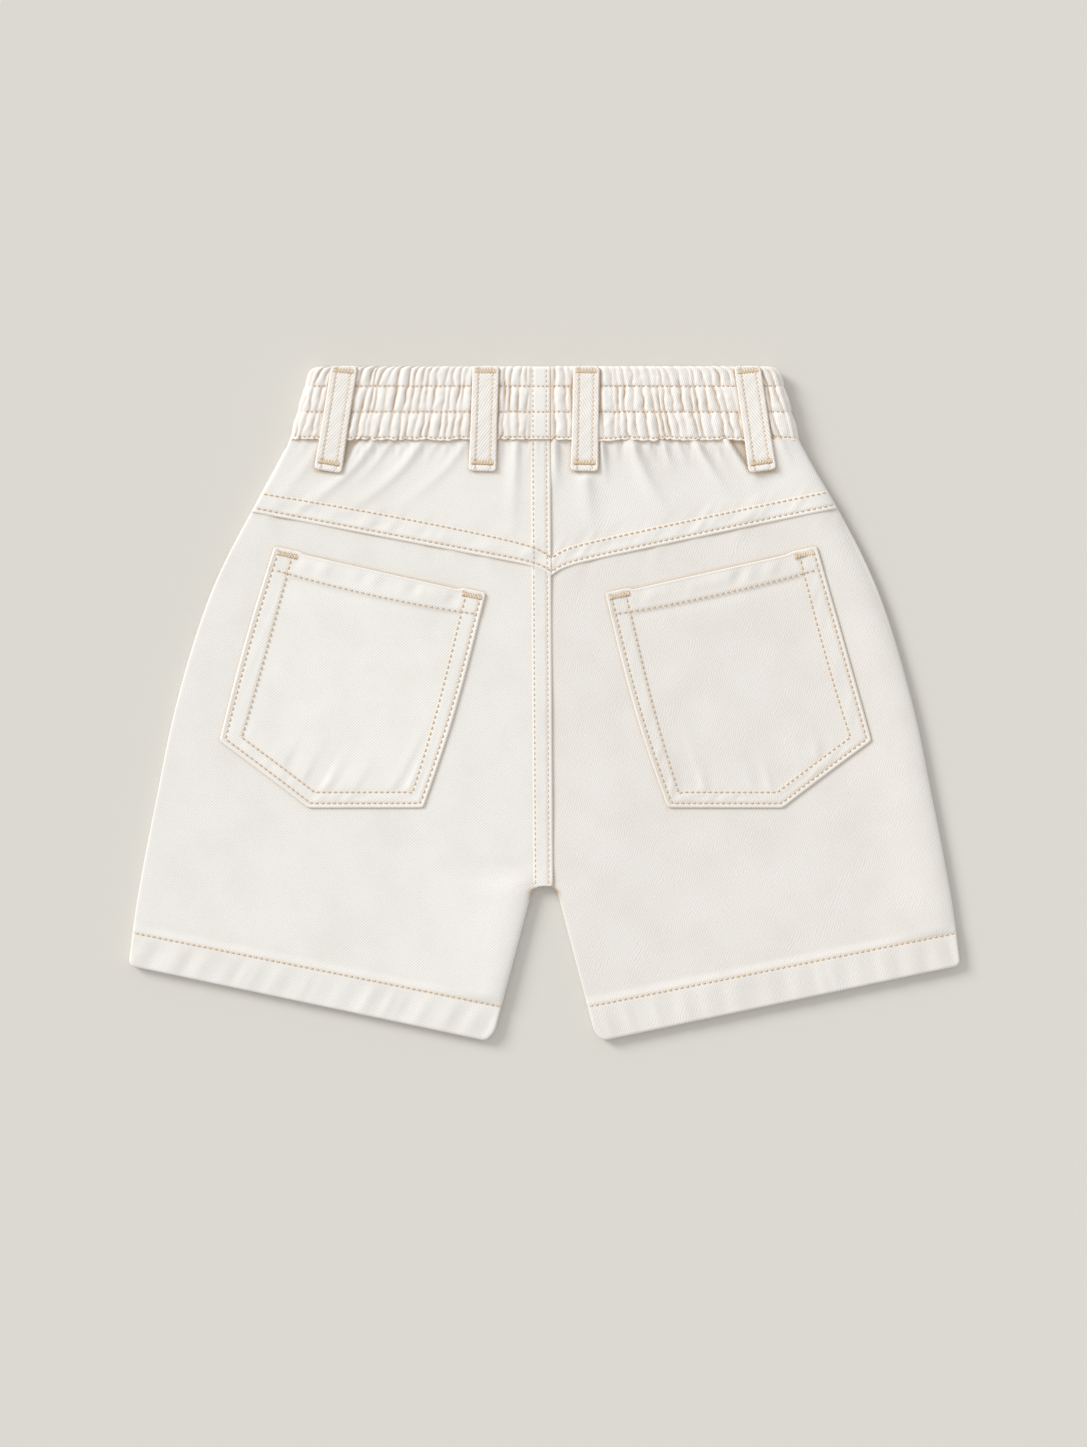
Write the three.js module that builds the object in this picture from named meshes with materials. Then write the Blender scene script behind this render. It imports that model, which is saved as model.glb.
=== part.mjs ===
// Child's pull-on denim shorts with an elasticated waist, laid flat with the back upwards.
// Millimetres. +X is to the right, +Y towards the waist, +Z up from the surface that they lie on.
// The origin is on that surface, under the middle of the length and the width.
// Left and right are the wearer's, so the left leg lies on the side of -X.

import * as THREE from 'three';

// Driving dimensions
const LENGTH = 303; // waist edge to the lowest corner of a hem
const CLOTH = 1.1; // one layer of denim
const SEAM_GAP = 0.3; // between two pieces that are sewn together
const REST_HEIGHT = 3.1; // both layers where they lie on each other
const FOLD_HEIGHT = 4.4; // both layers at a folded side
const FOLD_REACH = 8; // how far the swell of a fold runs into the leg
const SEAM_ALLOWANCE = 0.6; // what a turned-in edge adds to the cloth above it
const GAUGE = 6.4; // between the two rows of a twin-needle seam
const EDGE_STITCH = 2.2; // from a seam's edge to its nearer row

const WAIST_Y = LENGTH / 2;
const BAND_DEPTH = 33;
const BAND_Y = WAIST_Y - BAND_DEPTH; // the waistband's lower edge
const BAND_HEIGHT = 6.6; // both walls of the waistband, without its gathers
const BAND_WALL = 2.7; // two layers of denim with the elastic between them
const BAND_CORNER = 4;
const BAND_LIFT = 2.1; // how far the waistband holds the yoke's top up
const BAND_LIFT_REACH = 22;

// Half the flat width down the outer side, from the waistband's lower edge.
const SIDE_OUTLINE = [
  { below: 33, half: 114.8 },
  { below: 65, half: 131.9 },
  { below: 105, half: 150.6 },
  { below: 150, half: 165.3 },
  { below: 195, half: 174.9 },
  { below: 240, half: 183.4 },
  { below: 270, half: 187.4 },
];
const WAIST_HALF = 105.2;

const HEM_OUTER_Y = WAIST_Y - 270.1;
const HEM_INNER_Y = -LENGTH / 2;
const HEM_DEPTH = 16;
const HEM_CLOTH = 2; // the turned-up hem's two layers
const HEM_HEIGHT = 4.35; // both layers at a hem
const HEM_OUTER_CORNER = 3.6;
const HEM_INNER_CORNER = 6.3;

const CROTCH_Y = -86; // where the inseams end and the arch between the legs begins
const ARCH_HALF = 6.6;
const ARCH_RISE = 3.8;
const INSEAM_SLOPE = 0.265;

// The back's middle seam leans a little, and its edge lies to the right of the middle.
const BACK_SEAM_TOP = 2.7;
const BACK_SEAM_LEAN = 0.008;
const YOKE_SIDE_Y = 86.2;
const YOKE_MIDDLE_Y = 62.5;
const YOKE_DIP = 3.8; // the yoke's point drops this much more at the middle seam
const YOKE_DIP_REACH = 7;

// A patch pocket's corners, from the middle of the garment, and the depth of its opening's hem.
const POCKET_CORNERS = {
  topOuter: [122, 70.8],
  topInner: [26.7, 49.8],
  bottomInner: [55, -47],
  bottomOuter: [106.7, -47.1],
  side: [146.8, -16.8],
};
const POCKET_HEM = 10;
const POCKET_LIFT = 0.5; // the opening stands this much off the seat at its middle

const LOOP_WIDTH = 12;
const LOOP_THICKNESS = 1.7;
const LOOP_LENGTH = 47.2;
const BELT_LOOPS = [
  { name: 'belt_loop_left_side', top: -89.8, foot: -97.4 },
  { name: 'belt_loop_left_back', top: -26.3, foot: -27.9 },
  { name: 'belt_loop_right_back', top: 18.9, foot: 18.0 },
  { name: 'belt_loop_right_side', top: 91.1, foot: 98.1 },
];

// The waistband's gathers, and its height at each row of stitches and in the channel between two.
const GATHER_PITCH = 3.5;
const GATHER_HEIGHT = 1.3;
const COLUMNS_A_GATHER = 4;
const BAND_SECTIONS = [
  { up: 0, puff: 0.15, round: 0.5 },
  { up: 1.3, puff: 0.3, round: 0 },
  { up: 6.7, puff: 1, round: 0 },
  { up: 12.5, puff: 0.3, round: 0 },
  { up: 18.3, puff: 1, round: 0 },
  { up: 24.1, puff: 0.3, round: 0 },
  { up: 28.6, puff: 0.95, round: 0 },
  { up: 31.6, puff: 0.8, round: 0.1 },
  { up: 33, puff: 0.3, round: 0.9 },
];

// Folds that run down the yoke from the waistband: where they start and end, their reach and their height.
const YOKE_FOLDS = [
  { at: 12, foot: 11, reach: 22, width: 4.5, height: 0.7 },
  { at: 22, foot: 23, reach: 15, width: 3.5, height: 0.5 },
  { at: 33, foot: 38, reach: 20, width: 4.5, height: 0.7 },
  { at: 44, foot: 48, reach: 26, width: 5, height: 0.6 },
  { at: 55, foot: 63, reach: 21, width: 4.5, height: 0.8 },
  { at: 66, foot: 76, reach: 27, width: 5, height: 0.7 },
  { at: 77, foot: 92, reach: 22, width: 4.5, height: 0.9 },
  { at: 90, foot: 104, reach: 17, width: 4, height: 0.5 },
  { at: 101, foot: 113, reach: 19, width: 4.5, height: 0.6 },
];

const SIDES = { left: -1, right: 1 };
const FOLD_ANGLES = [90, 60, 30, 0].map(THREE.MathUtils.degToRad);

const denim = (shade) =>
  new THREE.MeshStandardMaterial({ color: shade, roughness: 0.9, metalness: 0 });
const OFF_WHITE = 0xefebe3;
const OFF_WHITE_POCKET = 0xeeeae2;
const OFF_WHITE_LOOP = 0xf1ede6;

const { lerp, clamp, smoothstep } = THREE.MathUtils;
const evenly = (from, to, steps) =>
  Array.from({ length: steps + 1 }, (_, k) => lerp(from, to, k / steps));

// A smooth curve through a table's rows, read at any value of the column named at.
function curve(rows, at, value) {
  const last = rows.length - 1;
  const slope = rows.map((row, k) => {
    const before = rows[Math.max(k - 1, 0)];
    const after = rows[Math.min(k + 1, last)];
    return (after[value] - before[value]) / (after[at] - before[at]);
  });
  return (x) => {
    const k = clamp(rows.findIndex((row) => row[at] > x) - 1, 0, last - 1);
    const from = rows[x >= rows[last][at] ? last - 1 : k];
    const n = rows.indexOf(from);
    const to = rows[n + 1];
    const span = to[at] - from[at];
    const t = (x - from[at]) / span;
    return (
      from[value] * (1 + 2 * t) * (1 - t) ** 2 +
      to[value] * t * t * (3 - 2 * t) +
      span * (slope[n] * t * (1 - t) ** 2 + slope[n + 1] * t * t * (t - 1))
    );
  };
}

const sideCurve = curve(SIDE_OUTLINE, 'below', 'half');

// Half the flat width at a height, along the body or along the waistband.
function halfWidth(y) {
  return y >= BAND_Y
    ? lerp(SIDE_OUTLINE[0].half, WAIST_HALF, (y - BAND_Y) / BAND_DEPTH)
    : sideCurve(WAIST_Y - y);
}

const inseamX = (y) => ARCH_HALF + (CROTCH_Y - y) * INSEAM_SLOPE;
const backSeamX = (y) => BACK_SEAM_TOP + (BAND_Y - y) * BACK_SEAM_LEAN;

// How far a rounded corner takes in an edge that ends this far from it.
function cornerInset(distance, radius) {
  const short = radius - clamp(distance, 0, radius);
  return radius - Math.sqrt(radius * radius - short * short);
}

// How much of a fold's swell is left at a distance from its edge.
const swell = (distance) => Math.exp(-((Math.max(distance - FOLD_HEIGHT / 2, 0) / FOLD_REACH) ** 2));

// Height of the back's outer face, with x measured outwards from the middle.
function backHeight(x, y) {
  const outer = swell(halfWidth(y) - x);
  const inner = swell(x - Math.max(inseamX(y), 0)) * (1 - smoothstep(y, CROTCH_Y, CROTCH_Y + 15));
  const lift = BAND_LIFT * Math.exp((y - BAND_Y) / BAND_LIFT_REACH);
  return REST_HEIGHT + (FOLD_HEIGHT - REST_HEIGHT) * Math.max(outer, inner) + lift;
}

// Height that the folds below the waistband add to the yoke.
function yokeFolds(x, y) {
  const down = BAND_Y - y;
  return YOKE_FOLDS.reduce((sum, fold) => {
    const along = down / fold.reach;
    if (along >= 1) return sum;
    const off = (x - lerp(fold.at, fold.foot, along)) / (fold.width * (1 + along));
    return sum + fold.height * (1 - along) * Math.exp(-off * off * 2);
  }, 0);
}

// A closed wall of cloth between an outer grid of points and a plainer inner one.
// outer holds rows of points. inner holds the rows of the same columns that innerRows lists.
function wallGeometry(outer, inner, innerRows, turned) {
  const columns = outer[0].length;
  const points = [...outer.flat(), ...inner.flat()];
  const out = (row, column) => row * columns + column;
  const inn = (row, column) => (outer.length + row) * columns + column;
  const faces = [];
  const quad = (a, b, c, d) => faces.push([a, b, c], [a, c, d]);
  const top = outer.length - 1;
  const topInner = inner.length - 1;
  for (let c = 0; c < columns - 1; c += 1) {
    for (let r = 0; r < top; r += 1) {
      quad(out(r, c), out(r, c + 1), out(r + 1, c + 1), out(r + 1, c));
    }
    for (let r = 0; r < topInner; r += 1) {
      quad(inn(r, c), inn(r + 1, c), inn(r + 1, c + 1), inn(r, c + 1));
    }
    quad(out(0, c), inn(0, c), inn(0, c + 1), out(0, c + 1));
    quad(out(top, c), out(top, c + 1), inn(topInner, c + 1), inn(topInner, c));
  }
  const far = columns - 1;
  for (let k = 0; k < topInner; k += 1) {
    for (let r = innerRows[k]; r < innerRows[k + 1]; r += 1) {
      faces.push([inn(k, 0), out(r, 0), out(r + 1, 0)]);
      faces.push([inn(k, far), out(r + 1, far), out(r, far)]);
    }
    faces.push([inn(k, 0), out(innerRows[k + 1], 0), inn(k + 1, 0)]);
    faces.push([inn(k, far), inn(k + 1, far), out(innerRows[k + 1], far)]);
  }
  if (turned) faces.forEach((face) => face.reverse());
  const geometry = new THREE.BufferGeometry().setFromPoints(points);
  geometry.setIndex(faces.flat());
  geometry.computeVertexNormals();
  return geometry;
}

function piece(name, geometry, colour) {
  const mesh = new THREE.Mesh(geometry, denim(colour));
  mesh.name = name;
  return mesh;
}

// The columns of a leg or yoke piece, from its outer fold to its inner end.
// turn is how far round the fold a column lies, and edge its distance from the end that it goes with.
const MARGIN = 17; // the columns between the two ends are spread evenly inside this margin
function columnsOf(middles, innerEdges) {
  const radius = FOLD_HEIGHT / 2;
  const onFold = (end) => (turn) => ({
    end,
    turn,
    edge: radius * (1 - Math.sin(turn)),
  });
  return [
    ...FOLD_ANGLES.map(onFold('outer')),
    { end: 'outer', turn: 0, edge: 6 },
    { end: 'outer', turn: 0, edge: 11 },
    ...evenly(0, 1, middles).map((share) => ({ end: 'middle', turn: 0, share })),
    ...innerEdges.map((edge) => ({ end: 'inner', turn: 0, edge })),
    ...[...FOLD_ANGLES].reverse().map(onFold('inner')),
  ];
}

// One point of a leg or yoke piece: its place in plan, and its heights on the outer and inner faces.
// row has the two ends of its line, and closed says how far the inner end is folded rather than sewn edge to edge.
function sheetPoint(row, column, side, face) {
  const length = Math.hypot(row.inner.x - row.outer.x, row.inner.y - row.outer.y);
  const away = {
    outer: column.edge,
    middle: lerp(MARGIN, length - MARGIN, column.share),
    inner: length - column.edge,
  };
  const share = away[column.end] / length;
  const x = lerp(row.outer.x, row.inner.x, share);
  const dip = row.dip * Math.exp(-(Math.abs(x) / YOKE_DIP_REACH));
  const y = lerp(row.outer.y, row.inner.y, share) - dip;
  const folded = column.end === 'inner' ? row.closed : 1;
  const turn = column.turn * folded;
  const heights = face(x, y, length * (1 - share));
  const middle = FOLD_HEIGHT / 2 + (heights.outer > heights.inner ? 1 : -1) * (SEAM_GAP / 2);
  const bend = Math.cos(turn);
  // The inner face of a fold lies inside the outer one by the cloth's thickness.
  const inset = CLOTH * Math.sin(turn) / length;
  const innerShare = column.end === 'inner' ? share - inset : share + inset;
  return {
    outer: new THREE.Vector3(side * x, y, lerp(middle, heights.outer, bend)),
    inner: new THREE.Vector3(
      side * lerp(row.outer.x, row.inner.x, innerShare),
      lerp(row.outer.y, row.inner.y, innerShare) - dip,
      lerp(middle, heights.inner, bend),
    ),
  };
}

function sheet(name, side, rows, columns, face, upwards) {
  const grid = rows.map((row) => columns.map((column) => sheetPoint(row, column, side, face)));
  const outer = grid.map((line) => line.map((point) => point.outer));
  const inner = grid.map((line) => line.map((point) => point.inner));
  const everyRow = rows.map((_, k) => k);
  const turned = (side > 0) === upwards;
  return piece(name, wallGeometry(outer, inner, everyRow, turned), OFF_WHITE);
}

// Points along the arch between the legs, from the inseam to the middle seam's end.
function archEnds(seamX) {
  return evenly(0, Math.acos(seamX / ARCH_HALF), 3).slice(1).map((angle) => ({
    x: ARCH_HALF * Math.cos(angle),
    y: CROTCH_Y + ARCH_RISE * Math.sin(Math.min(angle, Math.PI / 2)),
  }));
}

// The lines across a leg, from its hem up to the crotch and on to where the piece ends at the top.
function legRows(seamAt, topOuterY, topInnerY, dip) {
  const line = (outer, inner, closed, upTheLeg) => ({ outer, inner, closed, dip: dip * upTheLeg ** 3 });
  const outerAt = (y) => ({ x: halfWidth(y), y });
  const hemUps = [0, 1.2, 3, HEM_INNER_CORNER, HEM_DEPTH - 1, HEM_DEPTH + 0.5];
  const hem = hemUps.map((up) => line(
    { x: halfWidth(HEM_OUTER_Y + up) - cornerInset(up, HEM_OUTER_CORNER), y: HEM_OUTER_Y + up },
    { x: inseamX(HEM_INNER_Y + up) + cornerInset(up, HEM_INNER_CORNER), y: HEM_INNER_Y + up },
    1,
    0,
  ));
  const hemTop = hemUps.at(-1);
  const archOuterY = lerp(HEM_OUTER_Y, YOKE_SIDE_Y, 0.28);
  const leg = evenly(0, 1, 3).slice(1).map((t) => {
    const y = lerp(HEM_INNER_Y + hemTop, CROTCH_Y, t);
    return line(outerAt(lerp(HEM_OUTER_Y + hemTop, archOuterY, t)), { x: inseamX(y), y }, 1, 0);
  });
  const ends = archEnds(seamAt(CROTCH_Y));
  const arch = ends.map((end, k) => line(outerAt(archOuterY + 3 * (k + 1)), end, 1, 0));
  const fork = { outerY: archOuterY + 3 * ends.length, innerY: ends.at(-1).y };
  const seat = [0.03, 0.18, 0.34, 0.5, 0.66, 0.83, 1].map((t) => {
    const y = lerp(fork.innerY, topInnerY, t);
    return line(outerAt(lerp(fork.outerY, topOuterY, t)), { x: seamAt(y), y }, 0, t);
  });
  return [...hem, ...leg, ...arch, ...seat];
}

// How much a point lies in the hem, 0 above it, and how much of the hem's lower edge rounds off there.
function hemAt(x, y) {
  const outerX = SIDE_OUTLINE.at(-1).half;
  const innerX = inseamX(HEM_INNER_Y);
  const hemY = lerp(HEM_INNER_Y, HEM_OUTER_Y, (x - innerX) / (outerX - innerX));
  const up = y - hemY;
  return {
    inside: 1 - smoothstep(up, HEM_DEPTH - 1, HEM_DEPTH + 0.5),
    rounded: 0.5 * (1 - smoothstep(up, -0.3, 1.2)),
  };
}

// The left side laps over the right along the middle seam, and its turned-in edge raises this strip.
const LAP = GAUGE + EDGE_STITCH;
const lapRise = (side, toSeam) =>
  side < 0 ? SEAM_ALLOWANCE * (1 - smoothstep(toSeam, LAP, LAP + 0.8)) : 0;

const backSeamFor = (side) => (y) => (side < 0 ? -backSeamX(y) : backSeamX(y) + SEAM_GAP);
const LEG_MIDDLES = 5;
const LAP_EDGES = [LAP + 0.8, LAP];

function backPanel(name, side) {
  const rows = legRows(backSeamFor(side), YOKE_SIDE_Y - SEAM_GAP, YOKE_MIDDLE_Y - SEAM_GAP, YOKE_DIP);
  return sheet(name, side, rows, columnsOf(LEG_MIDDLES, LAP_EDGES), (x, y, toSeam) => {
    const hem = hemAt(x, y);
    const height = lerp(backHeight(x, y), HEM_HEIGHT, hem.inside);
    const lap = lapRise(side, toSeam) * smoothstep(y, CROTCH_Y, CROTCH_Y + ARCH_RISE);
    return {
      outer: height + lap - hem.rounded,
      inner: height - lerp(CLOTH, HEM_CLOTH, hem.inside),
    };
  }, true);
}

function frontPanel(name, side) {
  const seam = () => SEAM_GAP / 2;
  const rows = legRows(seam, BAND_Y - SEAM_GAP, BAND_Y - SEAM_GAP, 0);
  return sheet(name, side, rows, columnsOf(LEG_MIDDLES, LAP_EDGES), (x, y) => ({
    outer: 0,
    inner: lerp(CLOTH, HEM_CLOTH, hemAt(x, y).inside),
  }), false);
}

// The yoke's lower edge is turned in over the seat, which raises a strip along it.
const YOKE_MIDDLES = 26;
function yokeEdge(x) {
  const middle = backSeamX(YOKE_MIDDLE_Y);
  const across = (x - middle) / (halfWidth(YOKE_SIDE_Y) - middle);
  return lerp(YOKE_MIDDLE_Y, YOKE_SIDE_Y, across) - YOKE_DIP * Math.exp(-Math.abs(x) / YOKE_DIP_REACH);
}

function yoke(name, side) {
  const seam = backSeamFor(side);
  const upTheYoke = [0, 1, LAP, LAP + 0.8];
  const line = (outerY, innerY, dip) => ({
    outer: { x: halfWidth(outerY), y: outerY },
    inner: { x: seam(innerY), y: innerY },
    closed: 0,
    dip,
  });
  const strip = upTheYoke.map((up) => line(YOKE_SIDE_Y + up, YOKE_MIDDLE_Y + up, YOKE_DIP));
  const stripTop = upTheYoke.at(-1);
  const top = BAND_Y - SEAM_GAP;
  const rest = [0.3, 0.55, 0.78, 1].map((t) =>
    line(lerp(YOKE_SIDE_Y + stripTop, top, t), lerp(YOKE_MIDDLE_Y + stripTop, top, t), YOKE_DIP * (1 - t)));
  const rows = [...strip, ...rest];
  const columns = columnsOf(YOKE_MIDDLES, LAP_EDGES);
  return sheet(name, side, rows, columns, (x, y, toSeam) => {
    const up = y - yokeEdge(x);
    const strip = SEAM_ALLOWANCE * (1 - smoothstep(up, LAP, LAP + 0.8));
    const rounded = 0.4 * (1 - smoothstep(up, 0, 1));
    const height = backHeight(x, y) + yokeFolds(x, y);
    return {
      outer: height + Math.max(strip, lapRise(side, toSeam)) - rounded,
      inner: height - CLOTH,
    };
  }, true);
}

// Height of the gathers' outline at a distance along the waistband, from 0 in a valley to 1 on a ridge.
function gather(along) {
  const drift = 0.3 * Math.sin(along * 0.23) + 0.25 * Math.sin(along * 0.071 + 1);
  const ridges = along / GATHER_PITCH + drift;
  const lean = 0.78 + 0.22 * Math.sin(Math.floor(ridges) * 2.4);
  return lean * (0.5 - 0.5 * Math.cos(2 * Math.PI * ridges));
}

// Half of the waistband, from the middle of the back round the side fold to the middle of the front.
// Its back is gathered, and its front rests flat on the surface.
function waistbandHalf(name, side) {
  const radius = BAND_HEIGHT / 2;
  const innerRadius = radius - BAND_WALL;
  const smoothStart = side < 0 ? LAP : EDGE_STITCH;
  const backLength = SIDE_OUTLINE[0].half - radius;
  const gathers = Math.round((backLength - smoothStart) / GATHER_PITCH);
  const steps = gathers * COLUMNS_A_GATHER;
  const turns = evenly(0, Math.PI, 9);
  const rowOf = (section) => {
    const y = BAND_Y + section.up;
    const start = side < 0 ? -BACK_SEAM_TOP : BACK_SEAM_TOP + SEAM_GAP;
    const fold = halfWidth(y) - radius - cornerInset(WAIST_Y - y, BAND_CORNER);
    const at = (x, turn, along, share) => {
      const rise = GATHER_HEIGHT * section.puff * share * gather(along) - section.round * share;
      const from = (r) => new THREE.Vector3(
        side * (x + r * Math.sin(turn)),
        y,
        radius + r * Math.cos(turn),
      );
      return { outer: from(radius + rise), inner: from(innerRadius) };
    };
    const flatStart = [0, smoothStart].map((d) => at(start + d, 0, 0, side < 0 ? 0.4 : 0));
    const back = evenly(start + smoothStart, fold, steps).slice(1).map((x) =>
      at(x, 0, ((x - start) / (fold - start)) * backLength, 1));
    const round = turns.slice(1, -1).map((turn) =>
      at(fold, turn, backLength + radius * turn, 0.5 + 0.5 * Math.cos(turn)));
    const front = evenly(fold, SEAM_GAP / 2, 8).map((x) => at(x, Math.PI, 0, 0));
    return [...flatStart, ...back, ...round, ...front];
  };
  const grid = BAND_SECTIONS.map(rowOf);
  const outer = grid.map((row) => row.map((point) => point.outer));
  const innerRows = [0, BAND_SECTIONS.length - 1];
  const inner = innerRows.map((r) => grid[r].map((point) => point.inner));
  return piece(name, wallGeometry(outer, inner, innerRows, side < 0), OFF_WHITE);
}

// The outline of a pocket moved inwards by a distance of its own for each side.
function insetOutline(corners, distances) {
  const count = corners.length;
  const sides = corners.map((from, k) => {
    const to = corners[(k + 1) % count];
    const length = Math.hypot(to[0] - from[0], to[1] - from[1]);
    const along = [(to[0] - from[0]) / length, (to[1] - from[1]) / length];
    const inwards = [-along[1], along[0]];
    return { through: from.map((v, n) => v + inwards[n] * distances[k]), along };
  });
  return sides.map((side, k) => {
    const before = sides[(k + count - 1) % count];
    const cross = before.along[0] * side.along[1] - before.along[1] * side.along[0];
    const gap = [side.through[0] - before.through[0], side.through[1] - before.through[1]];
    const t = (gap[0] * side.along[1] - gap[1] * side.along[0]) / cross;
    return [before.through[0] + before.along[0] * t, before.through[1] + before.along[1] * t];
  });
}

// A patch pocket lies on the seat, with its edges turned in, and its opening stands off a little.
function pocket(name, side) {
  const { topOuter, topInner, bottomInner, bottomOuter, side: sideCorner } = POCKET_CORNERS;
  const corners = [topOuter, topInner, bottomInner, bottomOuter, sideCorner];
  const steps = [8, 6, 4, 4, 6]; // along the opening and on round the outline
  const border = LAP;
  // Each ring is the outline moved inwards, and says how much of the turned-in edge raises it.
  const rings = [
    { inset: [0, 0, 0, 0, 0], raised: 0.2 },
    { inset: [0.7, 0.7, 0.7, 0.7, 0.7], raised: 1 },
    { inset: [POCKET_HEM, border, border, border, border], raised: 1 },
    { inset: [POCKET_HEM + 1, border + 1, border + 1, border + 1, border + 1], raised: 0 },
    { inset: [25, 20, 22, 20, 20], raised: 0 },
    { inset: [40, 33, 36, 33, 33], raised: 0 },
  ];
  const middleOfOpening = topOuter.map((v, n) => (v + topInner[n]) / 2);
  const point = (x, y, height) => {
    const off = Math.hypot(x - middleOfOpening[0], y - middleOfOpening[1]) / 45;
    const lift = POCKET_LIFT * Math.exp(-off * off * 2);
    return new THREE.Vector3(side * x, y, backHeight(x, y) + lift + height);
  };
  const ringPoints = rings.map(({ inset, raised }) => {
    const outline = insetOutline(corners, inset);
    return outline.flatMap((from, k) => {
      const to = outline[(k + 1) % outline.length];
      return evenly(0, 1, steps[k]).slice(0, -1).map((t) => ({
        x: lerp(from[0], to[0], t),
        y: lerp(from[1], to[1], t),
        raised,
      }));
    });
  });
  const around = ringPoints[0].length;
  const last = ringPoints.at(-1);
  const middle = {
    x: last.reduce((sum, p) => sum + p.x, 0) / around,
    y: last.reduce((sum, p) => sum + p.y, 0) / around,
  };
  const flat = ringPoints.flat();
  const outer = flat.map((p) => point(p.x, p.y, SEAM_GAP + CLOTH + SEAM_ALLOWANCE * p.raised));
  const inner = flat.map((p) => point(p.x, p.y, SEAM_GAP));
  const outerMiddle = 2 * flat.length;
  const points = [
    ...outer,
    ...inner,
    point(middle.x, middle.y, SEAM_GAP + CLOTH),
    point(middle.x, middle.y, SEAM_GAP),
  ];
  const faces = [];
  const quad = (a, b, c, d) => faces.push([a, b, c], [a, c, d]);
  for (let k = 0; k < around; k += 1) {
    const next = (k + 1) % around;
    for (let r = 0; r < rings.length - 1; r += 1) {
      const a = r * around;
      const b = a + around;
      quad(a + k, a + next, b + next, b + k);
      quad(flat.length + a + k, flat.length + b + k, flat.length + b + next, flat.length + a + next);
    }
    const core = (rings.length - 1) * around;
    faces.push([core + k, core + next, outerMiddle]);
    faces.push([flat.length + core + next, flat.length + core + k, outerMiddle + 1]);
    quad(k, flat.length + k, flat.length + next, next);
  }
  if (side < 0) faces.forEach((face) => face.reverse());
  const geometry = new THREE.BufferGeometry().setFromPoints(points);
  geometry.setIndex(faces.flat());
  geometry.computeVertexNormals();
  return piece(name, geometry, OFF_WHITE_POCKET);
}

// A belt loop runs from the waist edge over the gathers, and its foot is sewn to the yoke.
function beltLoop({ name, top, foot }) {
  const lean = Math.atan2(foot - top, LOOP_LENGTH);
  const middleAt = (down) => lerp(top, foot, down / LOOP_LENGTH);
  const overBand = BAND_HEIGHT + GATHER_HEIGHT + SEAM_GAP;
  const overYoke = (down) => {
    const steps = evenly(-LOOP_WIDTH / 2, LOOP_WIDTH / 2, 6);
    const heights = steps.map((off) => {
      const x = Math.abs(middleAt(down) + off);
      return backHeight(x, WAIST_Y - down) + yokeFolds(x, WAIST_Y - down);
    });
    return Math.max(...heights) + SEAM_GAP;
  };
  const sections = [
    { down: 0, under: overBand, thick: 0.7 },
    { down: 1.2, under: overBand, thick: 1 },
    { down: BAND_DEPTH * 0.5, under: overBand + 0.3, thick: 1 },
    { down: BAND_DEPTH, under: overBand, thick: 1 },
    { down: BAND_DEPTH + 3, under: lerp(overBand, overYoke(BAND_DEPTH + 3), 0.5), thick: 1 },
    { down: BAND_DEPTH + 6.5, under: overYoke(BAND_DEPTH + 5), thick: 1 },
    { down: LOOP_LENGTH - 1.2, under: overYoke(BAND_DEPTH + 6.5), thick: 1 },
    { down: LOOP_LENGTH, under: overYoke(BAND_DEPTH + 6.5), thick: 0.7 },
  ];
  // Across the loop, from one edge to the other, with its height rounded off at both.
  const profile = [
    { across: -1, rise: 0.7 },
    { across: -0.88, rise: 1 },
    { across: 0.88, rise: 1 },
    { across: 1, rise: 0.7 },
  ];
  const grid = (heightOf) => sections.map((section) => profile.map((step) => {
    const off = step.across * (LOOP_WIDTH / 2);
    const squared = section.down > 0 ? Math.sin(lean) : 0;
    return new THREE.Vector3(
      middleAt(section.down) + off * Math.cos(lean),
      WAIST_Y - section.down + off * squared,
      heightOf(section, step),
    );
  }));
  const outer = grid((section, step) => section.under + LOOP_THICKNESS * section.thick * step.rise);
  const inner = grid((section) => section.under);
  const everyRow = sections.map((_, k) => k);
  return piece(name, wallGeometry(outer, inner, everyRow, true), OFF_WHITE_LOOP);
}

const shorts = new THREE.Group();
shorts.name = 'denim_shorts';
for (const [which, side] of Object.entries(SIDES)) {
  shorts.add(backPanel(`back_${which}`, side));
  shorts.add(frontPanel(`front_${which}`, side));
  shorts.add(yoke(`yoke_${which}`, side));
  shorts.add(waistbandHalf(`waistband_${which}`, side));
  shorts.add(pocket(`pocket_${which}`, side));
}
BELT_LOOPS.forEach((loop) => shorts.add(beltLoop(loop)));

export default shorts;
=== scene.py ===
import math

import bpy
import numpy as np
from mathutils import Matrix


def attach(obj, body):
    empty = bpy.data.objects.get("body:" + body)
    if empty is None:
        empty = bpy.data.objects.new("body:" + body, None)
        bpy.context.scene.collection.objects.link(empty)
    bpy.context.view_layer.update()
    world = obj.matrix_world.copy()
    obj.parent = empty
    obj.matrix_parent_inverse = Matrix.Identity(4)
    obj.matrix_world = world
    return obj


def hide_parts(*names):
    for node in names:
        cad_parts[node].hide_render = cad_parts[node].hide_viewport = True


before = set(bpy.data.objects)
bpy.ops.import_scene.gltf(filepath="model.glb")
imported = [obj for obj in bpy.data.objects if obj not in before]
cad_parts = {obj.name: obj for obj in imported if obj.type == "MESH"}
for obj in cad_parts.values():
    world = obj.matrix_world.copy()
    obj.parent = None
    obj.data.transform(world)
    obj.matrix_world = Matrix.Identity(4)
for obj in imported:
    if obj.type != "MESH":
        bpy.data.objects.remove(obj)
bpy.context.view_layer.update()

MM = 0.001
SIDES = {"left": -1, "right": 1}

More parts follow.
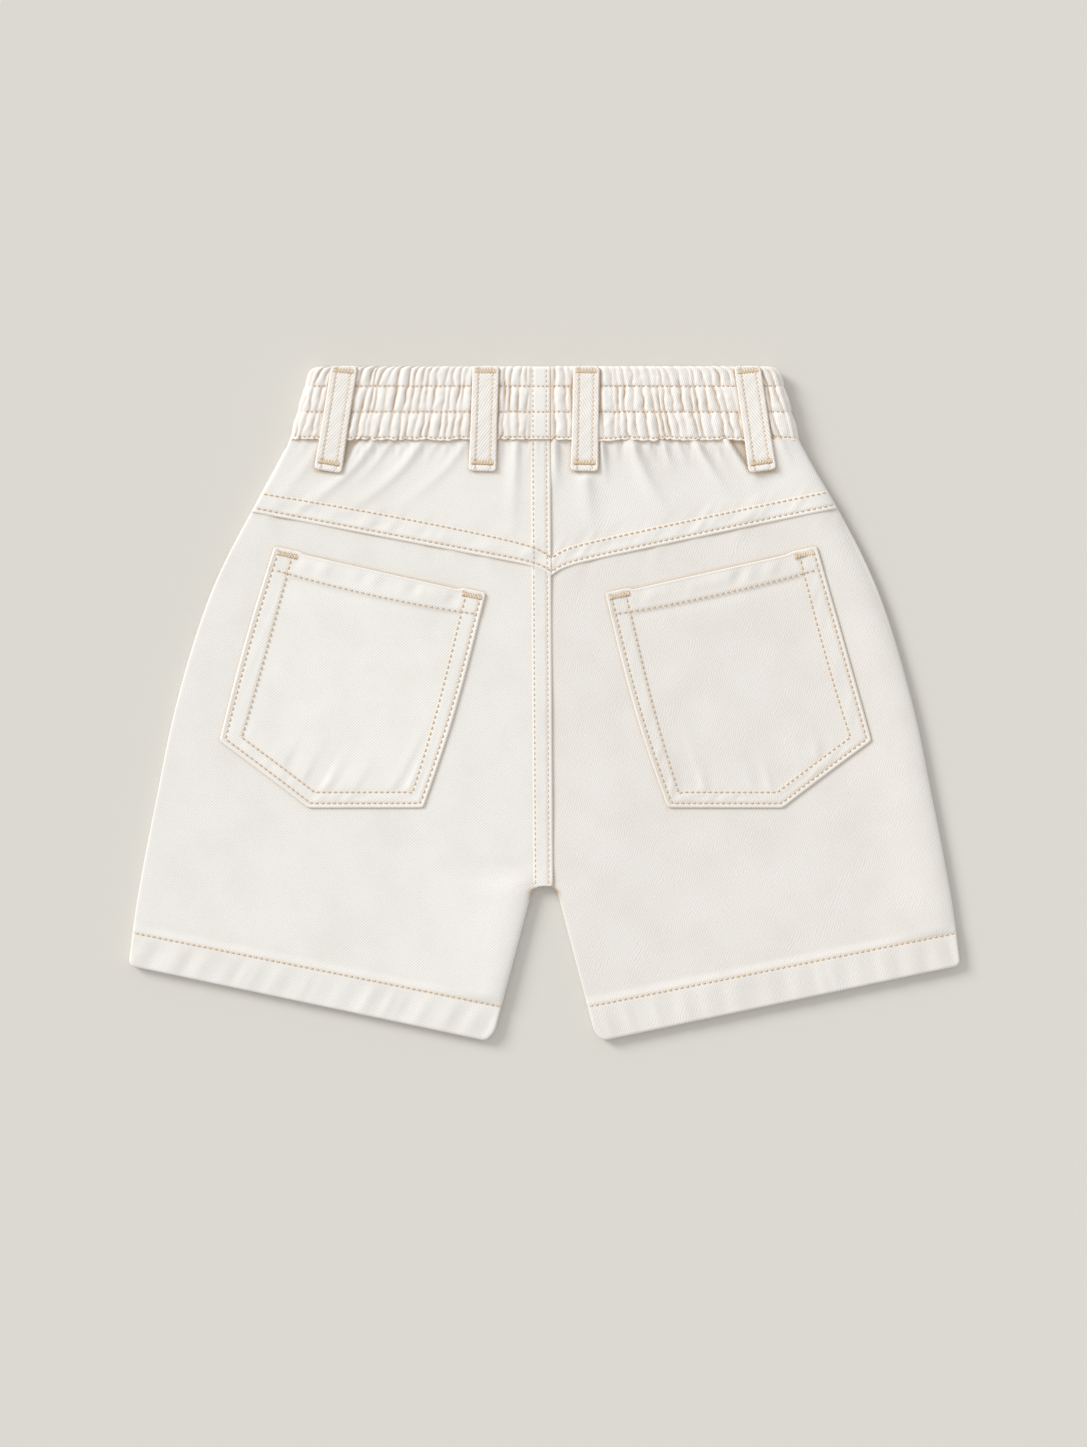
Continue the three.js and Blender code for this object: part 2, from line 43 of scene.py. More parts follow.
# Sizes shared with the solids
LENGTH = 303
CLOTH = 1.1
REST_HEIGHT, FOLD_HEIGHT, FOLD_REACH = 3.1, 4.4, 19
RADIUS = FOLD_HEIGHT / 2
FOLD_SQUARE = 0.5
WAIST_Y = LENGTH / 2
BAND_DEPTH = 33
BAND_Y = WAIST_Y - BAND_DEPTH
BAND_HEIGHT, BAND_WALL, BAND_CORNER = 6.6, 2.7, 4
BAND_LIFT, BAND_LIFT_REACH = 2.1, 48
SIDE_OUTLINE = np.array([
    (33, 114.8), (65, 131.9), (105, 150.6), (150, 165.3), (195, 174.9), (240, 183.4), (270, 187.4),
], float)  # distance below the waist edge, half the flat width
WAIST_HALF = 105.2
HEM_OUTER_Y, HEM_INNER_Y = WAIST_Y - 270.1, -LENGTH / 2
HEM_DEPTH, HEM_CLOTH, HEM_HEIGHT = 16, 2.0, 4.35
HEM_OUTER_CORNER, HEM_INNER_CORNER, HEM_INNER_CORNER_WIDTH = 3.6, 6.3, 4.4
CROTCH_Y, ARCH_HALF, ARCH_RISE, INSEAM_SLOPE = -86, 6.1, 3.8, 0.263
BACK_SEAM_TOP, BACK_SEAM_LEAN = 2.7, 0.0058
YOKE_SIDE_Y, YOKE_MIDDLE_Y, YOKE_DIP, YOKE_DIP_REACH = 86.2, 60.4, 3.1, 4.5
# The pocket's corners go anticlockwise on the right side, and its side k runs from corner k to the next.
POCKET_CORNERS = np.array([(122, 70.8), (26.7, 49.8), (55, -47), (106.7, -47.1), (146.8, -16.8)], float)
POCKET_SHIFT = 0.5
POCKET_BOWS = {-1: (1.7, 1.1), 1: (2.0, 0.2)}  # of the inner and the outer long side
POCKET_TOP_DEEPER = {-1: 1.9, 1: 1.5}
POCKET_FOOT_NARROWER = 1.5
# Painted shade, in tan, at each side's edge of a pocket: most on the sides that face away from the light.
POCKET_EDGE_SHADE = {-1: (0.05, 0.5, 0.5, 0.3, 0), 1: (0.05, 0.05, 0.5, 0.5, 0.5)}  # how tan each side's edge is
# How much wider the sewn border is at the start, middle and end of its sides 1, inner, and 4, outer
POCKET_BORDER_WIDER = {-1: {1: (0, -0.5, -1.6), 4: (0, 1.2, 0)}, 1: {1: (0, -0.6, -2.0), 4: (0, 1.1, 0)}}
LOOP_WIDTH, LOOP_LENGTH = 12, 47.2
BELT_LOOPS = {
    "belt_loop_left_side": (-89.8, -97.4),
    "belt_loop_left_back": (-26.3, -27.9),
    "belt_loop_right_back": (18.9, 18.0),
    "belt_loop_right_side": (91.1, 98.1),
}  # middle of the top, middle of the foot

# How the cloth lies
FAR_EDGE = {-1: (2.4, 2.8, 5.0), 1: (2.3, 3.3, 5.3)}  # rise of the right-hand edges, their fall and its reach
FAR_EDGE_REACH = 14
NEAR_SWELL = 0.15  # share of the folds' height on the left-hand edges, which face the light
FORK_FADE, SIDE_FADE = 15, 25  # over which the inner folds end above the fork, and ripples at the side
YOKE_BOW = {-1: 0.0, 1: 1.5}  # how far the yoke's seam bows upwards
HEM_PUCKER = {-1: 0.36, 1: 0.44}  # height of the hem's puckers
HEM_LEAN, HEM_TWIST = {-1: 0.5, 1: -0.33}, 12.6  # slant and pitch of the hem's puckers
FOLD_SIZE = {-1: 0.85, 1: 2.1}  # height of the soft folds below, as a share of the one in their table
TUCK_WIDTH = {-1: 5.5, 1: 7.0}  # of the hollow beside the outer belt loop, at the waistband
LAP_RISE = 0.56  # of the strip along the middle seam and the yoke's seam
POCKET_RISE, POCKET_BORDER_RISE, POCKET_HEM_RISE = 0.56, 0.26, 0.46  # the last two come on top of the first
POCKET_LEAN = {-1: (0.5, 0.35), 1: (-0.25, 0.1)}  # slant of the puckers at the foot and at the opening
FRONT_LIFT = 0.25  # of the front's underside over the floor
BELOW = 2.4  # how far a piece runs on under the one that laps over it
SEWN_WALL = 0.62  # thickness of the cloth's wall along a sewn edge

# Soft folds that fan out down the yoke: place at the waistband from the middle, slant, bend, reach,
# width and height.
YOKE_FOLDS = {
    -1: [
        (6.5, 0.1, 0, 16, 1.8, 0.5), (12.5, 0.05, 0, 50, 3.0, 1.5), (19.5, 0.1, 0.01, 12, 1.8, 0.5),
        (35.5, 0.45, 0.018, 34, 3.4, 0.9), (42.5, 0.4, 0.012, 15, 2.0, 0.5), (48, 0.42, 0.012, 12, 1.6, 0.55),
        (55.5, 0.45, 0.018, 38, 3.9, 1.5), (62.5, 0.45, 0.012, 14, 1.8, 0.6), (69, 0.5, 0.016, 22, 2.4, 0.8),
        (77, 0.5, 0.018, 42, 4.0, 1.5), (84.5, 0.5, 0.01, 18, 1.8, 0.8), (100, 0.45, 0.012, 28, 3.0, 0.9),
        (107, 0.45, 0.01, 12, 1.8, 0.5),
    ],
    1: [
        (4.6, 0.05, 0, 22, 1.7, 1.1), (17, 0.1, 0, 44, 3.6, 1.1), (25.6, 0.12, 0, 20, 1.6, 1.0),
        (31.5, 0.2, 0, 9, 1.5, 0.5), (39, 0.35, 0.004, 38, 3.8, 1.2), (46.5, 0.3, 0, 10, 1.6, 0.55),
        (53, 0.35, 0, 15, 1.9, 0.7), (59.5, 0.4, 0, 12, 1.6, 0.6), (67.5, 0.55, 0.004, 25, 2.5, 1.3),
        (75.5, 0.55, 0, 14, 1.8, 0.6), (82, 0.6, 0.004, 24, 2.1, 1.3), (100, 0.4, 0, 15, 2.0, 0.7),
        (106.5, 0.4, 0, 12, 1.8, 0.6),
    ],
}

# Sewing
EDGE_ROW, INNER_ROW = 2.05, 8.1  # rows of the middle seam and the yoke, from the edge
POCKET_EDGE_ROW, POCKET_INNER_ROW, POCKET_TOP_ROW = 2.25, 8.7, 10
HEM_ROW = 15.9
BAND_ROWS = (1.35, 12.6, 24.15)
LOOP_ROW, LOOP_FOOT_ROW = 3.25, 2.9  # from the loop's middle and from its foot
STITCH, STITCH_GAP, STITCH_LIFT, STITCH_SINK = 2.6, 1.15, 0.18, 0.1
THREAD = 0.4  # radius
LOOP_TACK_DOWNS, LOOP_TACK_WIDTH, POCKET_TACK_WIDTH, TACK_DEPTH = (2.3, 43.2), 9.0, 8.4, 2.2
POCKET_TACKS, POCKET_TACK_DOWN = (6.4, 6.2), 2.6  # from the corners along the opening, and below it

# Gathers of the waistband
LEVELS = (0.0, *BAND_ROWS, float(BAND_DEPTH))
GATHER_PITCH, GATHER_HEIGHT = 3.9, 1.25
SIDE_LENGTH = 12  # allowed for the waistband's fold at the side
LIP_RISE = 0.36
BACK_LENGTH = SIDE_OUTLINE[0, 1] - BAND_HEIGHT / 2

# Meshes and noise
WAVE_CELLS, WAVE_START = 997, 400  # the starts keep places in the noise above nought
RIPPLE_CELLS, RIPPLE_START = 61, 200
BACK_LINES, FRONT_LINES = (34, 12, 116), (14, 12, 60)  # lines below, round and above the fork
ARCH_SHARE, ARCH_SPREAD = 0.28, 9  # where the fork's lines meet the side, and their spread there
MARGIN = 17  # length of the closer columns at both ends of a line
GRAIN = {-1: -11.7, 1: 11.7}  # slant of the warp, in degrees
THREAD_POINTS = 6  # round a thread

# Light and camera, in metres and degrees, and the sensor in millimetres
FLOOR_SIZE, FLOOR_COLOUR = 6, (221, 218, 211)
WORLD_STRENGTH = 0.67
SUN_POWER, SUN_SOFTNESS, SUN_TURN = 2.245, 24, (0, -63, -36)
SUN_COLOUR = (1.0, 0.995, 0.985)
SENSOR, DISTANCE = 24, 2.2
PIXEL, PICTURE_HEIGHT = 0.00045, 1447  # size of a pixel on the floor, and pixels
CAMERA_AT = (-0.00045, -0.009, DISTANCE + 0.004)


def lerp(a, b, t):
    return a + (b - a) * t


def ease(t):
    return t * t * (3 - 2 * t)


def smooth(x, low, high):
    """A soft step from 0 at low to 1 at high."""
    return ease(np.clip((x - low) / (high - low), 0, 1))


def bump(x, middle, width):
    return np.exp(-(((x - middle) / width) ** 2))


def falling(x, reach):
    """1 up to 0, and less and less beyond it."""
    return np.exp(-np.maximum(x, 0) / reach)


def wave(s, pitch, seed):
    """Smooth noise along a line, from -1 to 1."""
    table = np.random.RandomState(seed).uniform(-1, 1, WAVE_CELLS)
    u = np.asarray(s, float) / pitch + WAVE_START
    k = np.floor(u).astype(int)
    f = ease(u - k)
    return table[k % WAVE_CELLS] * (1 - f) + table[(k + 1) % WAVE_CELLS] * f


def between(corner, f, g):
    """The value at shares f and g of a cell, from the values at its four corners."""
    low = corner(0, 0) * (1 - f) + corner(1, 0) * f
    high = corner(0, 1) * (1 - f) + corner(1, 1) * f
    return low * (1 - g) + high * g


def ripple(x, y, pitch, seed):
    """Smooth noise over a surface, from -1 to 1."""
    table = np.random.RandomState(seed).uniform(-1, 1, (RIPPLE_CELLS, RIPPLE_CELLS))
    u, v = np.broadcast_arrays(*(np.asarray(p, float) / pitch + RIPPLE_START for p in (x, y)))
    i, j = np.floor(u).astype(int), np.floor(v).astype(int)

    def corner(a, b):
        return table[(i + a) % RIPPLE_CELLS, (j + b) % RIPPLE_CELLS]

    return between(corner, ease(u - i), ease(v - j))


def side_curve(below):
    """Half the flat width at a distance below the waist edge: a smooth curve through the outline's points."""
    rows = SIDE_OUTLINE
    last = len(rows) - 1
    k = np.arange(last + 1)
    before, after = rows[np.maximum(k - 1, 0)], rows[np.minimum(k + 1, last)]
    slope = (after[:, 1] - before[:, 1]) / (after[:, 0] - before[:, 0])
    n = np.clip(np.searchsorted(rows[:, 0], below, side="right") - 1, 0, last - 1)
    span = rows[n + 1, 0] - rows[n, 0]
    t = (below - rows[n, 0]) / span
    return (
        rows[n, 1] * (1 + 2 * t) * (1 - t) ** 2
        + rows[n + 1, 1] * t * t * (3 - 2 * t)
        + span * (slope[n] * t * (1 - t) ** 2 + slope[n + 1] * t * t * (t - 1))
    )


def half_width(y):
    y = np.asarray(y, float)
    band = lerp(SIDE_OUTLINE[0, 1], WAIST_HALF, (y - BAND_Y) / BAND_DEPTH)
    return np.where(y >= BAND_Y, band, side_curve(WAIST_Y - np.minimum(y, BAND_Y)))


def inseam_x(y):
    return ARCH_HALF + (CROTCH_Y - y) * INSEAM_SLOPE


def seam_x(y):
    return BACK_SEAM_TOP + (BAND_Y - y) * BACK_SEAM_LEAN


def corner_inset(distance, radius):
    """How far a rounded corner draws an edge in at a distance from its end."""
    short = radius - np.clip(distance, 0, radius)
    return radius - np.sqrt(radius * radius - short * short)


def fold_turn(turn):
    """Plan and height shares of a fold that is a little squarer than half a circle."""
    return np.clip(np.sin(turn), 0, 1) ** FOLD_SQUARE, np.clip(np.cos(turn), 0, 1) ** FOLD_SQUARE


def swell(distance):
    """How high a fold still stands at a distance from its edge, as a share."""
    return np.exp(-((np.maximum(distance - RADIUS, 0) / FOLD_REACH) ** 2))


def back_height(ax, y, side):
    """Height of the back without its seams, ripples and puckers."""
    outer_edge, inner_edge = half_width(y) - ax, ax - np.maximum(inseam_x(y), 0)
    fork = 1 - smooth(y, CROTCH_Y, CROTCH_Y + FORK_FADE)
    outer_share, inner_share = (NEAR_SWELL, 1) if side < 0 else (1, NEAR_SWELL)
    near = np.maximum(swell(outer_edge) * outer_share, swell(inner_edge) * fork * inner_share)
    lift = BAND_LIFT * np.exp((np.minimum(y, BAND_Y) - BAND_Y) / BAND_LIFT_REACH)
    # The right-hand edge of each leg slopes down more than the left-hand one.
    raised, drop, reach = FAR_EDGE[side]
    far = np.maximum(outer_edge if side > 0 else inner_edge, 0)
    roll = (raised * np.exp(-far / FAR_EDGE_REACH) - drop * np.exp(-far / reach)) * (1 if side > 0 else fork)
    return REST_HEIGHT + (FOLD_HEIGHT - REST_HEIGHT) * near + lift + roll


def seat(side, x, y, size=1):
    """Height of the back without its seams, with soft ripples that fade out at the side."""
    seed = 3 if side < 0 else 4
    ripples = 0.32 * ripple(x, y, 34, seed) + 0.13 * ripple(x + 0.5 * y, 0.6 * y, 13, seed + 2)
    return back_height(side * x, y, side) + size * ripples * smooth(half_width(y) - side * x, 0, SIDE_FADE)


def hem_y(ax):
    outer_x, inner_x = SIDE_OUTLINE[-1, 1], inseam_x(HEM_INNER_Y)
    return lerp(HEM_INNER_Y, HEM_OUTER_Y, (ax - inner_x) / (outer_x - inner_x))


def hem_up(ax, y):
    return y - hem_y(ax)


def yoke_edge(ax, side):
    """Height of the yoke's lower edge, in plan."""
    to_seam = ax - side * seam_x(YOKE_MIDDLE_Y)
    across = to_seam / (half_width(YOKE_SIDE_Y) - side * seam_x(YOKE_MIDDLE_Y))
    bow = YOKE_BOW[side] * np.sin(np.pi / 2 * np.clip(across, 0, 1))
    return lerp(YOKE_MIDDLE_Y, YOKE_SIDE_Y, across) + bow - YOKE_DIP * falling(to_seam, YOKE_DIP_REACH)


def yoke_inner_row(ax, side):
    """Distance of the yoke's upper row of stitches from its lower edge."""
    across = np.clip((ax - side * seam_x(YOKE_MIDDLE_Y)) / half_width(YOKE_SIDE_Y), 0, 1)
    wide = (1 - np.exp(-across / 0.08)) * (1.0 + np.sin(np.pi * across))
    return INNER_ROW + (wide if side < 0 else 0.15 * wide)


def groove(distance, width=0.6, depth=0.2):
    """The dent of a row of stitches."""
    return -depth * bump(distance, 0, width)


def lap(side, ax, y):
    """The raised strip along the middle seam, on the left side."""
    if side > 0:
        return 0 * ax
    d = ax + seam_x(y)
    strip = 1 - smooth(d, INNER_ROW, INNER_ROW + 0.9)
    edge = 0.25 * (1 - smooth(d, 0, 0.4))
    roll = 0.14 * bump(d, 0.75, 0.5)
    pucker = 0.1 * wave(y, 5.5, 31) * bump(d, 5, 2.6)
    return LAP_RISE * strip - edge + roll + pucker + groove(d - EDGE_ROW) + groove(d - INNER_ROW)


def leg_face(side, x, y):
    """Height of a back panel's outer face."""
    ax = side * x
    up = hem_up(ax, y)
    # The hem is drawn in by its stitches, and twists into slanted puckers.
    slanted = x - HEM_LEAN[side] * up
    beat = np.sin(2 * math.pi * (slanted + 3.2 * wave(slanted, 17, 47 + side)) / HEM_TWIST)
    twist = 0.5 * beat + 0.45 * wave(slanted, 6.2, 41 + side) + 0.4 * wave(slanted, 3.1, 43 + side)
    drawn = np.sin(np.pi * np.clip(0.12 + 0.88 * up / HEM_ROW, 0, 1)) ** 0.8
    hem = HEM_HEIGHT - 0.15 + HEM_PUCKER[side] * twist * drawn
    above = 0.12 * wave(slanted, 6, 45 + side) * falling(up - HEM_ROW, 6)
    above = above + 0.1 * bump(up - HEM_ROW, 2.2, 1.6)
    z = lerp(seat(side, x, y) + above, hem, 1 - smooth(up, HEM_DEPTH - 0.9, HEM_DEPTH + 4.6))
    # The fold at the hem's foot is rounded.
    inner_end = inseam_x(HEM_INNER_Y) + HEM_INNER_CORNER_WIDTH
    run = SIDE_OUTLINE[-1, 1] - HEM_OUTER_CORNER - inner_end
    from_edge = y - lerp(HEM_INNER_Y, HEM_OUTER_Y, (ax - inner_end) / run)
    z = z - 0.55 * np.clip(1 - from_edge / 1.5, 0, 1) ** 3
    z = z + groove(up - HEM_ROW, 0.7, 0.22)
    z = z + lap(side, ax, y) * smooth(y, CROTCH_Y, CROTCH_Y + ARCH_RISE)
    # The yoke's seam pulls small hollows below it.
    below = yoke_edge(ax, side) - y
    return z + 0.24 * wave(ax + 0.3 * below, 5.2, 51 + side) * falling(below, 6) * (below > -4)


def yoke_folds(side, ax, y):
    """Height of the soft folds below the waistband, and of the tucks at the outer belt loops."""
    down = BAND_Y - y
    total = 0 * ax
    for start, slant, bend, reach, width, height in YOKE_FOLDS[side]:
        along = np.clip(down / reach, 0, 1)
        off = (ax - start - slant * down - bend * down * down) / (width * (0.7 + 0.7 * along))
        # A fold falls away more steeply on its right than on its left.
        off = np.where(off * side > 0, off * 1.25, off * 0.85)
        total = total + FOLD_SIZE[side] * height * (1 - along) ** 1.1 * np.exp(-np.abs(off) ** 1.8)
    # Next to the waistband the cloth is pinched between the gathers.
    pinch = GATHERS[side].ridge(ax / 0.98, 0.6 + 0 * ax) - 0.55
    total = total + 0.8 * pinch * falling(down, 4.2)
    return total * press(side, ax, y) * (0.6 + 0.4 * smooth(down, 0, 4)) + side_tuck(side, ax, down)


def side_tuck(side, ax, down):
    """The hollow beside the outer belt loop, on its inner side, and the crease along it."""
    top, foot = BELT_LOOPS["belt_loop_left_side" if side < 0 else "belt_loop_right_side"]
    beside = side * lerp(top, foot, (down + BAND_DEPTH) / LOOP_LENGTH) - LOOP_WIDTH / 2 - ax
    left = np.clip(1 - down / (LOOP_LENGTH - BAND_DEPTH - 1), 0, 1)
    wide = TUCK_WIDTH[side] * left + 0.4
    hollow = smooth(beside, -3.5, -0.5) * (1 - smooth(beside, wide - 1.0, wide + 0.5))
    crease = 0.45 * bump(beside, wide + 1.3, 1.3)
    return (crease - 1.0 * hollow) * left ** 0.6 * smooth(down, -1, 1)


def press(side, ax, y):
    """How free the cloth is of the belt loops that hold it down, from 0 to 1."""
    down = WAIST_Y - y
    free = 1 + 0 * ax
    for top, foot in BELT_LOOPS.values():
        if top * side > 0:
            off = (ax - side * lerp(top, foot, down / LOOP_LENGTH)) / 6.4
            free = free * (1 - 0.8 * np.exp(-(off**6)) * (1 - smooth(down, LOOP_LENGTH, LOOP_LENGTH + 4)))
    return free


def yoke_face(side, x, y):
    """Height of a yoke's outer face."""
    ax = side * x
    up = y - yoke_edge(ax, side)
    inner = yoke_inner_row(ax, side)
    fade = smooth(half_width(y) - ax, 2, 12)
    z = seat(side, x, y, 0.6) + yoke_folds(side, ax, y) * fade + 0.3 * np.exp((y - BAND_Y) / 5)
    strip = LAP_RISE * (1 - smooth(up, inner, inner + 0.9)) - 0.25 * (1 - smooth(up, 0, 0.4))
    rows = groove(up - EDGE_ROW) + groove(up - inner)
    lean = x - 0.6 * up
    pucker = wave(lean, 5.2, 61 + side) + 0.5 * wave(lean, 2.9, 63 + side)
    pucker = pucker * (0.3 * bump(up, 5.2, 2.4) + 0.16 * bump(up, 11, 3))
    return z + np.maximum(strip, lap(side, ax, y)) + rows + 0.16 * bump(up, 0.8, 0.5) + pucker * fade


class Gathers:
    """Valleys of the gathers along one half of the waistband, with their places at each row of stitches."""

    def __init__(self, seed, length):
        self.seed = seed
        rng = np.random.RandomState(seed)
        pitches = GATHER_PITCH * rng.uniform(0.66, 1.34, int(length / GATHER_PITCH * 1.5))
        base = np.concatenate([[-6], -6 + np.cumsum(pitches)])
        base = base[base < length + 6]
        self.at = []
        for _ in LEVELS:
            moved = base + rng.uniform(-0.75, 0.75, len(base))
            self.at.append(np.maximum.accumulate(moved + np.arange(len(base)) * 1e-3))
        self.depth = [np.clip(rng.normal(0.92, 0.2, len(base)), 0.15, 1.1) for _ in LEVELS]
        for depth in self.depth:
            depth[rng.uniform(size=len(base)) < 0.06] = 0.35

    def ridge(self, along, up):
        """0 in a valley and about 1 on a ridge."""
        along, up = np.broadcast_arrays(np.asarray(along, float), np.asarray(up, float))
        total = np.zeros(along.shape)
        share = np.zeros(along.shape)
        drift = ripple(along, up, 3.6, self.seed + 60)
        fade = 0.72 + 0.42 * ripple(along, 0.7 * up, 5.2, self.seed + 61)
        for k in range(len(LEVELS) - 1):
            low, high = LEVELS[k], LEVELS[k + 1]
            here = smooth(up, low - 0.6, low + 0.6) if k else np.ones(up.shape)
            gone = smooth(up, high - 0.6, high + 0.6) if k < len(LEVELS) - 2 else 0
            weight = here * (1 - gone)
            t = np.clip((up - low) / (high - low), 0, 1)
            # Valleys lean a little between their places at the two rows.
            mean = (self.at[k] + self.at[k + 1]) / 2
            lean = np.interp(along, mean, self.at[k + 1] - self.at[k])
            place = along - lean * (t - 0.5) + 0.55 * drift
            n = np.clip(np.searchsorted(mean, place) - 1, 0, len(mean) - 2)
            width = np.maximum(mean[n + 1] - mean[n], 0.4)
            s = np.clip((place - mean[n]) / width, 0, 1)
            depth = lerp(self.depth[k][n], self.depth[k][n + 1], smooth(s, 0.35, 0.65))
            depth = np.clip(depth * fade, 0, 1.1)
            hill = (1 - np.abs(2 * s ** 0.85 - 1) ** 1.9) * np.clip(width / GATHER_PITCH, 0.3, 1.5) ** 0.6
            total += weight * (1 - depth + depth * hill)
            share += weight
        return total / np.maximum(share, 1e-6)


GATHERS = {side: Gathers(17 + side, BACK_LENGTH + SIDE_LENGTH + BACK_LENGTH) for side in SIDES.values()}


def band_puff(up):
    """How far the channels between the rows of stitches stand up, from 0 at a row to 1 between two."""
    total = np.zeros(np.shape(up))
    for low, high in zip(LEVELS[:-1], LEVELS[1:]):
        t = np.clip((up - low) / (high - low), 0, 1)
        # The top channel ends in the fold of the edge, before it comes down again.
        if high == BAND_DEPTH:
            t = t * 0.62
        if low > 0:
            total = total + np.where((up >= low) & (up < high + 1e-6), np.sin(np.pi * t) ** 0.55, 0)
    return total


def band_rise(side, along, up):
    """Height of the gathered face over the waistband's plain height, and the painted shade for how deep in a
    valley it is.
    """
    ridge = GATHERS[side].ridge(along, up)
    puff = band_puff(up)
    lip = bump(up, 0.5, 0.5)
    free = smooth(along, INNER_ROW + 0.6, INNER_ROW + 3) if side < 0 else smooth(along, -0.5, 1.2)
    y = BAND_Y + up
    start = band_start(side)
    free = free * press(side, start + along * (band_fold(y) - start) / (BACK_LENGTH - start), y)
    size = 0.5 + 0.5 * puff
    rise = free * GATHER_HEIGHT * size * (ridge - 0.3) + 0.22 * puff - 0.3 * (1 - smooth(up, 0, 9))
    rise = rise + LIP_RISE * lip + 0.12 * lip * wave(along, 2.6, 71 + side)
    rise = rise + free * 0.16 * ripple(along, up, 2.1, 75 + side)
    for row in BAND_ROWS:
        rise = rise + groove(up - row, 0.45, 0.1)
    if side < 0:
        strip = 1 - smooth(along, INNER_ROW, INNER_ROW + 0.9)
        rise = rise + 0.45 * strip - 0.35 * (1 - smooth(along, 0, 0.7))
        rise = rise + groove(along - EDGE_ROW, 0.5, 0.2) + groove(along - INNER_ROW, 0.5, 0.2)
        rise = rise + 0.1 * strip * wave(up, 3.4, 73)
    rise = rise - 0.3 * (1 - smooth(up, 0, 0.35)) - 1.0 * smooth(up, 31.9, 33) ** 2
    # Painted shade, in tan, in the gathers' valleys, more in the puffed channels.
    crease = free * np.clip(1 - ridge, 0, 1) ** 1.25 * (0.38 + 0.33 * puff)
    return rise, crease


def band_shift(side, along, up):
    """How far the gathers move the waistband's lower and upper edge up or down."""
    ridge = GATHERS[side].ridge(along, up)
    free = smooth(along, INNER_ROW, INNER_ROW + 4) if side < 0 else 1.0
    hang = 1.1 * (ridge - 0.5) + 0.6 * wave(along, 4.6, 81 + side)
    return 0.35 * (ridge - 0.6) * free * np.exp(-(BAND_DEPTH - up) / 1.6) - hang * free * np.exp(-up / 2.6)


def band_start(side):
    """Where a half of the waistband begins at the middle, outwards."""
    return -BACK_SEAM_TOP if side < 0 else BACK_SEAM_TOP + 0.05


def band_fold(y):
    """Where the waistband's fold begins outwards, with the rounding of its upper corner."""
    return half_width(y) - BAND_HEIGHT / 2 - corner_inset(WAIST_Y - y, BAND_CORNER)


def band_face(side, x, y):
    """Height of the waistband's back at a place in plan."""
    start = band_start(side)
    along = (side * x - start) / (band_fold(y) - start) * (BACK_LENGTH - start)
    return BAND_HEIGHT + band_rise(side, along, y - BAND_Y)[0]


# Meshes
def store(name, points, polygons, cloth, crease, material):
    """A mesh object from points in millimetres and a list of arrays of polygons."""
    volume = 0.0
    for p in polygons:
        for k in range(1, p.shape[1] - 1):
            a, b, c = points[p[:, 0]], points[p[:, k]], points[p[:, k + 1]]
            volume += np.einsum("ij,ij->", a, np.cross(b, c))
    if volume < 0:
        polygons = [p[:, ::-1] for p in polygons]
    sizes = np.concatenate([np.full(len(p), p.shape[1]) for p in polygons])
    mesh = bpy.data.meshes.new(name)
    mesh.vertices.add(len(points))
    mesh.vertices.foreach_set("co", (points * MM).astype(np.float32).ravel())
    mesh.loops.add(int(sizes.sum()))
    mesh.loops.foreach_set("vertex_index", np.concatenate([p.ravel() for p in polygons]).astype(np.int32))
    mesh.polygons.add(len(sizes))
    mesh.polygons.foreach_set("loop_start", np.concatenate([[0], np.cumsum(sizes)[:-1]]).astype(np.int32))
    mesh.update(calc_edges=True)
    mesh.validate()
    mesh.polygons.foreach_set("use_smooth", np.ones(len(mesh.polygons), bool))
    # The crease attribute carries the painted shade: tan on the cloth, dark at the threads' ends.
    attributes = ("cloth", "FLOAT_VECTOR", "vector", cloth), ("crease", "FLOAT", "value", crease)
    for key, kind, field, values in attributes:
        data = mesh.attributes.new(key, kind, "POINT").data
        data.foreach_set(field, np.asarray(values, np.float32).ravel())
    ob = bpy.data.objects.new(name, mesh)
    bpy.context.scene.collection.objects.link(ob)
    mesh.materials.append(material)
    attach(ob, "root")
    return ob


def grid_quads(index):
    return np.stack([index[:-1, :-1], index[:-1, 1:], index[1:, 1:], index[1:, :-1]], -1).reshape(-1, 4)


def shell(name, outer, inner, inner_rows, cloth, crease, material):
    """A closed wall between an outer grid of points and a plainer inner one with the same columns."""
    rows, columns = outer.shape[:2]
    out = np.arange(rows * columns).reshape(rows, columns)
    inn = rows * columns + np.arange(len(inner_rows) * columns).reshape(-1, columns)
    quads = [grid_quads(out), grid_quads(inn[::-1])]
    for o, i in ((out[0], inn[0]), (out[-1][::-1], inn[-1][::-1])):
        quads.append(np.stack([o[:-1], i[:-1], i[1:], o[1:]], -1))
    fans = []
    for column, flip in ((0, False), (columns - 1, True)):
        for k in range(len(inner_rows) - 1):
            low, high = inner_rows[k], inner_rows[k + 1]
            run = out[low : high + 1, column]
            tip = np.full(len(run) - 1, inn[k, column])
            fan = np.stack([tip, run[:-1], run[1:]], -1)
            last = np.array([[inn[k, column], run[-1], inn[k + 1, column]]])
            fan = np.concatenate([fan, last])
            fans.append(fan[:, ::-1] if flip else fan)
    points = np.concatenate([outer.reshape(-1, 3), inner.reshape(-1, 3)])
    cloth = np.concatenate([cloth.reshape(-1, 3), cloth[inner_rows].reshape(-1, 3)])
    crease = np.concatenate([crease.ravel(), np.zeros(inner.shape[0] * columns)])
    return store(name, points, [np.concatenate(quads), np.concatenate(fans)], cloth, crease, material)


def graded(stops):
    """Values between pairs of (value, step) stops, with the given step in each stretch."""
    out = [stops[0][0]]
    for (low, step), (high, _) in zip(stops[:-1], stops[1:]):
        n = max(1, int(round(abs(high - low) / step)))
        out += list(np.linspace(low, high, n + 1)[1:])
    return np.array(out)


HEM_UPS = graded([
    (0, 0.12), (0.6, 0.22), (1.7, 0.8), (4, 1.15), (13.6, 0.6), (14.8, 0.35), (17.2, 0.7), (20, 1.1), (22, 1),
])


